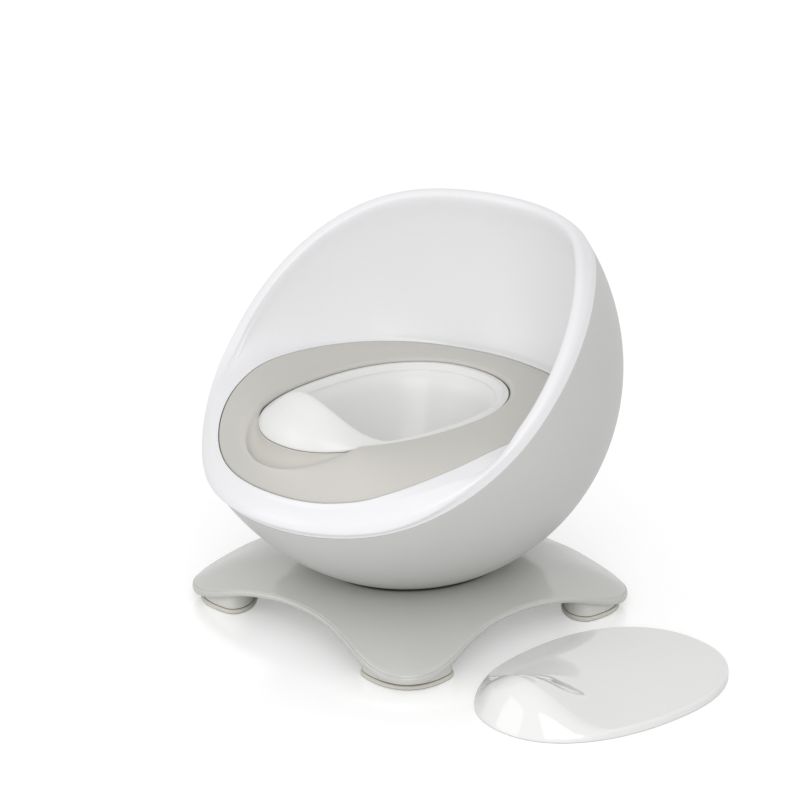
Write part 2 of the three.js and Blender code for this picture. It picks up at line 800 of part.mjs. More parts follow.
// An oval block under a corner, its long way across the corner
function footBlock(angle, low, high, inset) {
  const outline = new THREE.Shape();
  for (let i = 0; i < foot.sides; i += 1) {
    const turn = i * 2 * Math.PI / foot.sides;
    const [c, s] = [Math.cos(turn), Math.sin(turn)];
    const x = Math.sign(c) * Math.abs(c) ** (2 / foot.outlinePower) * (foot.halfWidth - inset);
    const y = Math.sign(s) * Math.abs(s) ** (2 / foot.outlinePower) * (foot.halfDepth - inset);
    if (i === 0) outline.moveTo(x, y);
    else outline.lineTo(x, y);
  }
  outline.closePath();
  const geometry = new THREE.ExtrudeGeometry(outline, { depth: high - low, bevelEnabled: false });
  geometry.rotateZ(angle);
  const { x, y } = polar(foot.reach, angle);
  geometry.translate(x, y, low);
  return solidOf(geometry);
}

function footCupSolid(angle, fills) {
  const { x, y } = polar(foot.reach, angle);
  const low = footCupLow;
  const post = footPost.radius + restGap;
  const floor = low + footCup.floorThickness;
  return footBlock(angle, low, base.crownHeight, footCup.inset)
    .intersect(fills.cup)
    .subtract(cylinder(x, y, floor, base.crownHeight + overrun, post, screw.sides))
    .subtract(cylinder(x, y, low - overrun, floor + overrun, screw.radius + restGap, screw.sides))
    .subtract(cylinder(x, y, low - overrun, low + restGap, screw.headRadius + restGap, screw.sides));
}

function footPadSolid(angle, fills) {
  const { x, y } = polar(foot.reach, angle);
  const recess = screw.headHeight + restGap * 2;
  const wide = screw.headRadius + restGap;
  return footBlock(angle, 0, footPad.thickness, 0)
    .intersect(fills.pad)
    .subtract(cylinder(x, y, footPad.thickness - recess, footPad.thickness + overrun, wide, screw.sides));
}

// Screw standing on its head, its tip up
function screwGeometry(seatHeight) {
  const { radius, headRadius, headHeight, length } = screw;
  const [faceShare, sideDepthShare] = screwHeadShares;
  const profile = [
    [0, -headHeight], [headRadius * faceShare, -headHeight], [headRadius, -headHeight * sideDepthShare],
    [headRadius, 0], [radius, 0], [radius, length - radius], [0, length],
  ];
  const outline = profile.map(([across, height]) => new THREE.Vector2(across, height));
  const geometry = new THREE.LatheGeometry(outline, screw.sides);
  geometry.rotateX(Math.PI / 2);
  geometry.translate(0, 0, seatHeight);
  return geometry;
}

// Soft grip: a stud under the seat ring that stands on the deck
function gripSolid(angle, ring, shell) {
  const edgeRadius = outlineRadius(ringOutline, angle);
  const reach = mix(outlineRadius(potOutline, angle), edgeRadius, grip.reachShare);
  const x = reach * Math.sin(angle);
  const y = yAt(angle, reach);
  const landing = edgeHeight(ringEdge, ringEdgeShares, yAt(angle, edgeRadius));
  const low = landing - deckDrop - overrun;
  const pieces = cylinder(x, y, low, ringBrowHeight, grip.radius, grip.sides)
    .subtract(ring.translate([0, 0, -restGap]))
    .subtract(shell.translate([0, 0, restGap]))
    .decompose();
  pieces.sort((a, b) => a.boundingBox().min[2] - b.boundingBox().min[2]);
  return pieces.find((piece) => piece.boundingBox().max[2] > landing - deckDrop);
}

const finishes = {
  base: { color: 0xa9aaa6, roughness: 0.22 },
  foot: { color: 0xb7b7b2, roughness: 0.35 },
  pad: { color: 0xc9c4b8, roughness: 0.75 },
  outer: { color: 0xc6c7c4, roughness: 0.3 },
  white: { color: 0xf2f3f5, roughness: 0.18 },
  ring: { color: 0xc9c4bd, roughness: 0.45 },
  steel: { color: 0x8f9194, roughness: 0.3, metalness: 1 },
};

function addPart(group, name, geometry, finish) {
  const material = new THREE.MeshStandardMaterial({ metalness: 0, ...finish });
  const mesh = new THREE.Mesh(geometry, material);
  mesh.name = name;
  group.add(mesh);
  return mesh;
}

function build() {
  const chair = new THREE.Group();
  const fills = {
    cup: baseFill(foot.inset + footCup.inset, base.wall + restGap),
    pad: baseFill(foot.inset, 0),
  };
  const ring = seatRing();
  const shell = innerShell();
  addPart(chair, "base_platform", geometryOf(basePlatform()), finishes.base);
  addPart(chair, "outer_shell", geometryOf(outerShell()), finishes.outer);
  addPart(chair, "inner_shell", geometryOf(shell), finishes.white);
  addPart(chair, "seat_ring", geometryOf(ring), finishes.ring);
  addPart(chair, "pot", geometryOf(potBowl()), finishes.white);
  addPart(chair, "lid", geometryOf(potLid()), finishes.white);
  cornerAngles.forEach((angle, i) => {
    const { x, y } = polar(foot.reach, angle);
    addPart(chair, `foot_cup_${i + 1}`, geometryOf(footCupSolid(angle, fills)), finishes.foot);
    addPart(chair, `foot_pad_${i + 1}`, geometryOf(footPadSolid(angle, fills)), finishes.pad);
    const mesh = addPart(chair, `foot_screw_${i + 1}`, screwGeometry(footCupLow), finishes.steel);
    mesh.position.set(x, y, 0);
  });
  baseScrewPlaces.forEach(({ x, y }, i) => {
    const seat = baseScrewSeat(x, y);
    const mesh = addPart(chair, `base_screw_${i + 1}`, screwGeometry(seat), finishes.steel);
    mesh.position.set(x, y, 0);
  });
  shellScrewPlaces.forEach(({ x, y }, i) => {
    const seat = ballUnder(x, y, 0) + headPocketDepth - restGap;
    const mesh = addPart(chair, `shell_screw_${i + 1}`, screwGeometry(seat), finishes.steel);
    mesh.position.set(x, y, 0);
  });
  [grip.angle, Math.PI - grip.angle, Math.PI + grip.angle, -grip.angle].forEach((angle, i) => {
    addPart(chair, `ring_grip_${i + 1}`, geometryOf(gripSolid(angle, ring, shell)), finishes.pad);
  });
  const middle = new THREE.Box3().setFromObject(chair).getCenter(new THREE.Vector3());
  chair.position.set(-middle.x, -middle.y, 0);
  return chair;
}

export default build();
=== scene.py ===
# Looks of the potty chair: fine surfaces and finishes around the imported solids.
# Shapes are worked out in millimetres from the middle of the base, and meshes are made in metres.

import math
from functools import partial

import bpy
import numpy as np
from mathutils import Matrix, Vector


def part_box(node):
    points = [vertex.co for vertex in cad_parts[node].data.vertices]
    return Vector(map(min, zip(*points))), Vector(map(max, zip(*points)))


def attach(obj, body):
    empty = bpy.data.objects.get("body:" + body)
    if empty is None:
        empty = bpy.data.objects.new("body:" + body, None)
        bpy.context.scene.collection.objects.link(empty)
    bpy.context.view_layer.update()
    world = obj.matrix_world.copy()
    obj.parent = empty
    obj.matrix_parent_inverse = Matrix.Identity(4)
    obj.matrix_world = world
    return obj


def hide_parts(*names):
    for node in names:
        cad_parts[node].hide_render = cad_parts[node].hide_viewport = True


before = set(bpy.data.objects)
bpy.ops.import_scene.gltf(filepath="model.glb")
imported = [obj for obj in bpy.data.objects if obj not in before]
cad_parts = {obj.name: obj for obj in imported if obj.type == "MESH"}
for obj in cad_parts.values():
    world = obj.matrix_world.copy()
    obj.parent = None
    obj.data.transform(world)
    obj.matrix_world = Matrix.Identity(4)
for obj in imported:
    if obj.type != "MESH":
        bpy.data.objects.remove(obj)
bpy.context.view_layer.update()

MM = 0.001
base_low, base_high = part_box("base_platform")
CHAIR_CENTRE = Vector(((base_low.x + base_high.x) / 2, (base_low.y + base_high.y) / 2, 0))

# Clearances
REST_GAP = 0.3
SLIDE_GAP = 0.6

# Edge roundings that several pieces share
HAIR_ROUND = 0.3
TIGHT_ROUND = 0.5
SMALL_ROUND = 0.6
SOFT_ROUND = 0.8

# Body ball: an ellipsoid whose long axis leans forward
BALL_CENTRE_Y = -12
BALL_MIDDLE = (0, BALL_CENTRE_Y)
BALL_LOW_HEIGHT = 24.8
BALL_HALF_WIDTH = 180
BALL_HALF_LONG = 210
BALL_HALF_SHORT = 190.5
BALL_LEAN = math.radians(43)
BALL_CENTRE_HEIGHT = BALL_LOW_HEIGHT + math.hypot(
    BALL_HALF_SHORT * math.sin(BALL_LEAN), BALL_HALF_LONG * math.cos(BALL_LEAN)
)

# Edge lines: each climbs from a low height at its start in front to a high one at its end, by
# shares of (way back, rise)
SEAM = {"start": -174.6, "end": 145, "low": 123, "high": 316}
SEAM_SHARES = [
    (0, 0), (0.079, 0.021), (0.164, 0.078), (0.274, 0.202), (0.406, 0.389),
    (0.542, 0.604), (0.678, 0.8), (0.803, 0.938), (0.909, 0.995), (1, 1),
]
RIM = {"start": -180, "end": 145, "low": 135, "high": 332}
RIM_SHARES = [
    (0, 0), (0.101, 0.03), (0.176, 0.086), (0.261, 0.183), (0.357, 0.315), (0.461, 0.477),
    (0.566, 0.645), (0.671, 0.797), (0.766, 0.909), (0.849, 0.972), (0.917, 0.995), (1, 1),
]
RING_EDGE = {"start": -168, "end": 138.8, "low": 151.5, "high": 194}
RING_EDGE_SHARES = [
    (0, 0), (0.036, 0.035), (0.068, 0.106), (0.104, 0.2), (0.147, 0.353), (0.196, 0.506),
    (0.251, 0.659), (0.303, 0.776), (0.372, 0.906), (0.437, 0.976), (0.515, 1),
    (0.613, 0.988), (0.743, 0.94), (0.873, 0.859), (1, 0.765),
]

# Shells. The lip's shares run from outside to inside, over the backrest's wall and over the apron
OUTER_WALL = 3.2
OUTER_STATIONS = 16
OUTER_BACK_STATIONS = 9
INNER_WALL = 3
LIP_WIDTH = 10.5
LIP_APRON_WIDTH = 8.6
LIP_ROUND = 6
LIP_WALL_DEPTH = 10
LIP_APRON_DEPTH = 5
LIP_INWARD_SHARES = [0, 0.1, 0.35, 0.65, 0.92, 1]
LIP_WALL_SHARES = [-1, -0.27, 0, 0, -0.37, -1]
APRON_INWARD_SHARES = [0, 0.08, 0.26, 0.5, 0.76, 1]
APRON_RISE_SHARES = [-0.36, 0.14, 0.36, 0.59, 0.82, 1]
APRON_RISE_SHARE = 0.77
APRON_BELOW = -12
APRON_ABOVE = 30
APRON_CURVE_SHARES = (0.35, 0.37)
WALL_STATIONS = 12
WALL_BACK_STATIONS = (0, 3, 6, 10)
WALL_HOLD_SHARE = 0.25
WALL_BLEND = 1.5
LANDING_REACH_SHARE = 0.55
LANDING_RISE_SHARE = 0.45
LANDING_ROUND = 0.9
TONGUE_DEPTH = 8
TONGUE_WALL = 2
DECK_DROP = 5.3
LEDGE_ROUND = 1.2
WELL_FLOOR = 92
WELL_GAP = 9
WELL_CORNER = 14
WELL_BOTTOM_SHARE = 0.72
WELL_FLAT_SHARE = 0.6
WELL_SIDE_SHARE = 0.6
WELL_BEND_SHARES = (0.8, 0.4)
WELL_EDGE_ROUND = 1.5

# Seat ring
RING_OUTLINE = {
    "waist_y": -33, "half_width": 142, "front_reach": 134, "back_reach": 171.5,
    "front_power": 2, "back_power": 2.25,
}
RING_WALL = 4
RING_BROW_HEIGHT = 193.5
RING_BROW_ROUND = 2.4
RING_SKIRT = 8
RING_SWELL_POWER = 2.2
RING_STEPS = (0.03, 0.1, 0.22, 0.38, 0.55, 0.72, 0.88)
RING_EDGE_ROUND = 1.4
RING_REST_ROUND = 0.4
SCOOP_SPAN = math.radians(32)
SCOOP_POWER = 1.3
SCOOP_WIDTH = 15.5
SCOOP_BROW_DROP = 21.5
SCOOP_DIP = 3.5
# Shares of (scoop's width, brow's round, drop from brow to rest, rise from dip to rest)
SCOOP_STATIONS = ((0.7, 0.35, 0.25, 0), (0.3, 0, 0.6, 0.14), (0.05, 0, 0.8, 0.6))

# Pot and lid
POT_OUTLINE = {
    "waist_y": -18, "half_width": 83.2, "front_reach": 130, "back_reach": 105.5,
    "front_power": 2.2, "back_power": 2.2,
}
POT_RIM = 191.5
POT_FLANGE_WIDTH = 5.4
POT_FLANGE_THICKNESS = 3.2
POT_WALL = 2.6
POT_FLOOR = 106
POT_EDGE_SHARE = 0.6
POT_LIP_ROUND = 4.5
POT_LIP_SETBACK_SHARE = 1.4
POT_LIP_START_SHARE = 0.6
POT_LIP_TURN_SHARES = (0.6, 0.3)
# Shares of (way across, way down or up)
BOWL_SHARES = [(0.06, 0.1), (0.13, 0.34), (0.22, 0.6), (0.36, 0.84), (0.6, 0.97)]
FLANGE_SHARES = ((0.2, 0), (0.45, 0), (0.7, 0), (1, 0), (1, 1))
FLANGE_ROUND = 0.2
GUARD_SPAN = math.radians(42)
GUARD_RISE = 31.5
GUARD_SETBACK = 28
GUARD_EDGE_DROP = 2.8
GUARD_HOLLOW_SHARE = 0.3
GUARD_FACE_SHARES = ((0.45, 0.72), (0.85, 0.34))
GUARD_CREST_ROUND = 3
GUARD_LIP_ROUND = 2
LID_WALL = 2.6
LID_RIM = 7
LID_EDGE_ROUND = 1.6
LID_PLATE = 10
LID_PLATE_SHARE = 0.62
LID_PLATE_STEPS = (0.03, 0.08, 0.16, 0.26, 0.38, 0.52, 0.75)
LID_FACE_SHARES = ((0.3, 0.5), (0.65, 0.85))
LID_STEP_SHARE = 0.2
LID_RISE = 30
LID_PLACE = (237, 24)

# Base platform
BASE_HALF_WIDTH = 158
BASE_HALF_DEPTH = 152.5
BASE_CORNER_POWER = 4.8
BASE_PINCH_SHARE = 0.289
BASE_PINCH_EASE_SHARE = 0.133
BASE_CORNER_HEIGHT = 7.9
BASE_ARCH_RISE = 22.7
BASE_ARCH_POWER = 0.72
BASE_CORNER_FLAT = 0.74
BASE_CORNER_EDGE = 6
BASE_ARCH_EDGE = 4.3
BASE_CROWN = 41
BASE_CROWN_POWER = 5.4
BASE_WALL = 3
BASE_CORNER_GATHER = 0.6
BASE_CUP_SHARES = (0.25, 0.5, 0.75)
BASE_TOP_SHARES = (0.15, 0.35, 0.55, 0.7, 0.8, 0.88, 0.94, 1)
BASE_TOP_INSET = 2.2
BASE_SHOULDER_INSET = 1.5
BASE_EDGE_INSET = 0.6
BASE_TUCK_INSET = 0.7
BASE_BAND_SHARES = {"widest": 0.66, "lower": 0.3, "inside": 0.25}
BASE_BAND_EASE = 0.1
BASE_BAND_ROUND = 0.7

# Feet
FOOT_REACH = 159
FOOT_HALF_WIDTH = 40
FOOT_HALF_DEPTH = 27
FOOT_POWER = 2.6
FOOT_INSET = 7
FOOT_CUP_INSET = 1.5
FOOT_BLEND = 3
FOOT_FLAT_SHARES = (0.5, 0.9)
FOOT_ROOF_SHARES = (0.95, 0.75, 0.5, 0.25)
PAD_THICKNESS = 4
PAD_ROUND = 1.2
PAD_GROOVES = (0.4, 0.56, 0.72, 0.88)
PAD_GROOVE_SHAPE = ((-0.05, 0), (-0.03, 0.7), (0.03, 0.7), (0.05, 0))
CORNER_TURN = math.atan2(BASE_HALF_WIDTH, BASE_HALF_DEPTH)
CORNER_PAIRS = 2

# Screws that hold the ball to the base
SCREW_RADIUS = 2
SCREW_HEAD_RADIUS = 4
SCREW_HEAD_HEIGHT = 2.4
SCREW_HEAD_FLAT_SHARE = 0.8
SCREW_LENGTH = 14
SCREW_DEPTH = 4.5
SCREW_CROSS_POWER = 6
SCREW_CROSS_LEAST = 0.28
SCREW_CROSS_SHARE = 0.62
SCREW_CROSS_FLOOR_SHARE = 0.7
SCREW_CROSS_DEPTH = 1.5
SCREW_CROSS_SIDE_DEPTH = 1.4
SCREW_ROUNDS = {"cross": 0.1, "cross_edge": 0.08, "seat": 0.2, "tip": 0.1}
BASE_SCREW_REACH = 40

# Fineness of the meshes
STEPS_ROUND = 288
FOOT_STEPS = 96
SCREW_STEPS = 48

# Solving of curves: search widths, least lengths, and how far a corner's round may reach
HALVINGS = 40
OUTLINE_SEARCH = 320
FOOT_SEARCH = 120
BASE_CUP_SEARCH = (20, 110)
NEAR_MIDDLE = 0.001
SPLINE_TINY = 1e-6
SIDE_TINY = 1e-9
CORNER_SHARE = 0.45

# Surface detail of the plastics, with noise scales per metre
CLOUD_SCALE = 9
CLOUD_DETAIL = 3
SHEEN_SCALE = 60
SHEEN_DETAIL = 4
WAVE_SCALE = 45
WAVE_DETAIL = 1
GRAIN_DETAIL = 2
MARK_DETAIL = 2
MARK_SCALES = (140, 900, 260)
MARK_TURNS = (0.4, 0.2, 0.9)
MARK_BAND = (0.68, 0.8)
RELIEF_DEPTH = 0.00004
COAT_ROUGHNESS = 0.06

# Painted shade that darkens the narrow gaps between pieces, where other surfaces are near
CREVICE_REACH = 0.003
CREVICE_BAND = (0.2, 0.62)
CREVICE_SHADE = 0.25
CREVICE_SAMPLES = 8

# Stage, with places and sizes in metres
WHITE = (1, 1, 1, 1)
FLOOR_HALF = 6
FLOOR_COLOR = (0.9, 0.9, 0.9, 1)
FLOOR_ROUGHNESS = 0.14
FLOOR_LIFT = 0.26
WORLD_STRENGTH = 0.72
LAMP_AIM = Vector((0, 0, 0.15))
# Name, place, size, and power in watts
LAMPS = [
    ("key_softbox", (2.3, -2.1, 1.7), 2.4, 40),
    ("front_softbox", (-1.2, -2.6, 0.9), 1.8, 12),
]

# Camera matched to the outlines in the photograph's 800 by 800 frame
CAMERA_AZIMUTH = math.radians(46.8475)
CAMERA_ELEVATION = math.radians(21.7129)
CAMERA_DISTANCE = 2.9971
CAMERA_TARGET_HEIGHT = 0.142
TARGET_PIXEL = (409.45, 448.48)
FOCAL_PIXELS = 3500
PHOTO_SIDE = 800
SENSOR_WIDTH = 36


def mix(a, b, share):
    return a + (b - a) * share


def ease(low, high, value):
    t = np.clip((value - low) / (high - low), 0, 1)
    return t * t * (3 - 2 * t)


def soft_least(a, b, width):
    """The smaller of two values, rounded over where they meet."""
    return (a + b - np.sqrt((a - b) ** 2 + width * width)) / 2


def along(stations, place):
    """A smooth curve through stations of (place, value), level beyond both ends."""
    places = np.array([station[0] for station in stations], float)
    values = np.array([station[1] for station in stations], float)
    slopes = np.zeros_like(values)
    slopes[1:-1] = (values[2:] - values[:-2]) / (places[2:] - places[:-2])
    place = np.clip(place, places[0], places[-1])
    i = np.clip(np.searchsorted(places, place, side="right") - 1, 0, len(places) - 2)
    width = places[i + 1] - places[i]
    t = (place - places[i]) / width
    rounding = t * t * (3 - 2 * t)
    start = slopes[i] * width * t * (1 - t) ** 2
    end = slopes[i + 1] * width * t * t * (t - 1)
    return values[i] * (1 - rounding) + values[i + 1] * rounding + start + end


def halve(low, high, is_inside):
    """Bisection between arrays of inside and outside values."""
    low = np.array(low, float)
    high = np.array(high, float)
    for _ in range(HALVINGS):
        middle = (low + high) / 2
        inside = is_inside(middle)
        low = np.where(inside, middle, low)
        high = np.where(inside, high, middle)
    return (low + high) / 2


def ball_terms(x, y, inset):
    """The ball's equation in height: a * up ** 2 + b * up + c = 0, up from its centre."""
    halves = BALL_HALF_WIDTH, BALL_HALF_LONG, BALL_HALF_SHORT
    wide, long, short = (half - inset for half in halves)
    sine, cosine = math.sin(BALL_LEAN), math.cos(BALL_LEAN)
    a = (sine / short) ** 2 + (cosine / long) ** 2
    b = 2 * y * sine * cosine * (1 / short ** 2 - 1 / long ** 2)
    c = (x / wide) ** 2 + (y * cosine / short) ** 2 + (y * sine / long) ** 2
    return a, b, c


def ball_point(angle, tilt, inset=0.0):
    """Radius and height at which a ray from the middle, tilted up from down, leaves the ball."""
    across, up = np.sin(tilt), -np.cos(tilt)
    a, b, c = ball_terms(across * np.sin(angle), -across * np.cos(angle), inset)
    reach = 1 / np.sqrt(a * up * up + b * up + c)
    return reach * across, BALL_CENTRE_HEIGHT + reach * up


def ball_radius(angle, height, inset=0.0):
    """Distance from the ball's upright axis to its surface, at an angle from the front."""
    up = height - BALL_CENTRE_HEIGHT
    a, b, c = ball_terms(np.sin(angle), -np.cos(angle), inset)
    root = np.maximum((b * up) ** 2 - 4 * c * (a * up * up - 1), 0)
    return (-b * up + np.sqrt(root)) / (2 * c)


def ball_under(x, y, inset=0.0):
    """Height of the ball's underside over a place on the floor plane."""
    a, b, c = ball_terms(x, y - BALL_CENTRE_Y, inset)
    root = np.maximum(b * b - 4 * a * (c - 1), 0)
    return BALL_CENTRE_HEIGHT + (-b - np.sqrt(root)) / (2 * a)


def y_at(angle, radius):
    return BALL_CENTRE_Y - radius * np.cos(angle)


def edge_height(edge, shares, y):
    place = (y - edge["start"]) / (edge["end"] - edge["start"])
    return mix(edge["low"], edge["high"], along(shares, place))


def crossing(edge, shares, angle):
    """Height at which an edge line crosses the ball."""
    def below(height):
        return height < edge_height(edge, shares, y_at(angle, ball_radius(angle, height)))
    low = np.full_like(angle, BALL_LOW_HEIGHT)
    high = np.full_like(angle, 2 * BALL_CENTRE_HEIGHT - BALL_LOW_HEIGHT)
    return halve(low, high, below)


def outline_radius(outline, angle):
    """Distance from the chair's upright axis to an egg-shaped outline."""
    def inside(radius):
        x = np.abs(radius * np.sin(angle)) / outline["half_width"]
        y = y_at(angle, radius) - outline["waist_y"]
        power = np.where(y < 0, outline["front_power"], outline["back_power"])
        reach = np.where(y < 0, outline["front_reach"], outline["back_reach"])
        return x ** power + (np.abs(y) / reach) ** power < 1
    return halve(np.zeros_like(angle), np.full_like(angle, OUTLINE_SEARCH), inside)


def turn_from_front(angle):
    return np.abs(np.arctan2(np.sin(angle), np.cos(angle)))


def scoop_share(angle):
    return np.maximum(1 - (turn_from_front(angle) / SCOOP_SPAN) ** 2, 0) ** SCOOP_POWER


def guard_share(angle):
    turn = np.minimum(turn_from_front(angle) / GUARD_SPAN, 1)
    return np.cos(np.pi / 2 * turn) ** 2


def pot_edge_low(angle):
    return POT_RIM - POT_FLANGE_THICKNESS - GUARD_EDGE_DROP * scoop_share(angle)


def spline(points, pieces):
    """Smooth rows through control rows, closer together towards both ends."""
    steps = np.diff(points, axis=0)
    gaps = np.sqrt(np.linalg.norm(steps, axis=2, keepdims=True)) + SPLINE_TINY
    slopes = steps / gaps
    tangents = np.empty_like(points)
    tangents[1:-1] = (slopes[:-1] * gaps[1:] + slopes[1:] * gaps[:-1]) / (gaps[:-1] + gaps[1:])
    if len(points) == 2:
        tangents[0] = tangents[1] = slopes[0]
    else:
        # End tangents that leave the curve unbent at its ends
        tangents[0] = 1.5 * slopes[0] - 0.5 * tangents[1]
        tangents[-1] = 1.5 * slopes[-1] - 0.5 * tangents[-2]
    rows = []
    even = np.arange(pieces) / pieces
    last = len(steps) - 1
    for i in range(len(steps)):
        if last == 0:
            shares = (1 - np.cos(np.pi * even)) / 2
        elif i == 0:
            shares = 1 - np.cos(np.pi / 2 * even)
        elif i == last:
            shares = np.sin(np.pi / 2 * even)
        else:
            shares = even
        for t in shares:
            rounding = t * t * (3 - 2 * t)
            row = mix(points[i], points[i + 1], rounding)
            row = row + tangents[i] * gaps[i] * t * (1 - t) ** 2
            rows.append(row + tangents[i + 1] * gaps[i] * t * t * (t - 1))
    rows.append(points[-1])
    return rows


def section(nodes, count, pieces=5, corner_pieces=4):
    """Rows of [radius, height] along a section. A node's third value rounds it as a corner."""
    points = [
        np.stack([np.broadcast_to(np.asarray(value, float), count) for value in node[:2]], axis=1)
        for node in nodes
    ]
    rounds = [node[2] if len(node) > 2 else None for node in nodes]
    closed = np.abs(points[0][:, 0]).max() > 0
    corners = [i for i, size in enumerate(rounds) if size is not None]
    if closed:
        corners.append(corners[0] + len(nodes))

    def at(i):
        return points[i % len(points)]

    def beside(i, neighbour):
        size = rounds[i % len(points)]
        away = at(neighbour) - at(i)
        length = np.linalg.norm(away, axis=1, keepdims=True) + SIDE_TINY
        return at(i) + away / length * np.minimum(size, length * CORNER_SHARE)

    rows = []
    for start, end in zip(corners[:-1], corners[1:]):
        middle = [at(i) for i in range(start + 1, end)]
        run = [beside(start, start + 1), *middle, beside(end, end - 1)]
        rows += spline(np.array(run), pieces)
        if not closed and end == len(points) - 1:
            break
        if rounds[end % len(points)]:
            a, corner, b = beside(end, end - 1), at(end), beside(end, end + 1)
            for t in np.arange(1, corner_pieces) / corner_pieces:
                rows.append(mix(mix(a, corner, t), mix(corner, b, t), t))
        else:
            rows.pop()
    return np.array(rows), closed


def mesh_piece(name, corners, faces, material):
    mesh = bpy.data.meshes.new(name)
    mesh.from_pydata(corners, [], faces)
    mesh.materials.append(material)
    mesh.polygons.foreach_set("use_smooth", [True] * len(mesh.polygons))
    mesh.update()
    piece = bpy.data.objects.new(name, mesh)
    bpy.context.scene.collection.objects.link(piece)
    return piece


def loft_faces(size, count, closed):
    """Faces over rows of a turned section. An open one has a pole at each end of its rows."""
    faces = []
    turn = list(range(1, count)) + [0]
    for j in range(size if closed else size - 1):
        above = (j + 1) % size
        faces += [(j * count + i, j * count + turn[i], above * count + turn[i], above * count + i)
                  for i in range(count)]
    if not closed:
        first, last = size * count, size * count + 1
        faces += [(first, turn[i], i) for i in range(count)]
        top = (size - 1) * count
        faces += [(last, top + i, top + turn[i]) for i in range(count)]
    return faces


def facing_out(corners, faces):
    """The faces of a closed body, turned over where they face inward."""
    a, b, c = (corners[[face[k] for face in faces]] for k in range(3))
    middle = corners.mean(axis=0)
    volume = np.einsum("ij,ij->i", a - middle, np.cross(b - middle, c - middle)).sum()
    return [face[::-1] for face in faces] if volume < 0 else faces


def loft(name, section_at, count, material, centre, node, gather=0):
    """A closed body turned about an upright axis through centre, kept within a node's box.

    The gather draws its steps closer together at the base's four corners.
    """
    even = np.arange(count) * 2 * np.pi / count
    angle = even + gather / 4 * np.sin(4 * even)
    rows, closed = section_at(angle)
    poles = [] if closed else [rows[0][0], rows[-1][0]]
    body = rows if closed else rows[1:-1]
    x = centre[0] + body[..., 0] * np.sin(angle)
    y = centre[1] - body[..., 0] * np.cos(angle)
    corners = np.stack([x, y, body[..., 1]], axis=2).reshape(-1, 3)
    if poles:
        corners = np.vstack([corners, [[centre[0], centre[1], pole[1]] for pole in poles]])
    faces = facing_out(corners, loft_faces(len(body), count, closed))
    corners = corners * MM + np.array(CHAIR_CENTRE)
    return mesh_piece(name, drawn_inside(corners, node), faces, material)


def drawn_inside(corners, node):
    """Corners drawn in by the hair's breadth that a finer curve stands out of a node's box."""
    low, high = (np.array(corner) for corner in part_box(node))
    for axis in range(3):
        values = corners[:, axis]
        start, end = values.min(), values.max()
        inner = max(start, low[axis]), min(end, high[axis])
        corners[:, axis] = inner[0] + (values - start) / (end - start) * (inner[1] - inner[0])
    return corners


def outer_shell_section(angle):
    top = crossing(SEAM, SEAM_SHARES, angle)
    skins = []
    for inset, parts in ((0, OUTER_STATIONS), (OUTER_WALL, OUTER_BACK_STATIONS)):
        end = np.arctan2(ball_radius(angle, top, inset), BALL_CENTRE_HEIGHT - top)
        skins.append([ball_point(angle, end * i / parts, inset) for i in range(parts + 1)])
    outside, inside = skins
    nodes = [
        (0, outside[0][1], 0),
        *outside[1:-1],
        (*outside[-1], SOFT_ROUND),
        (*inside[-1], SOFT_ROUND),
        *inside[-2:0:-1],
        (0, inside[0][1], 0),
    ]
    return section(nodes, len(angle))


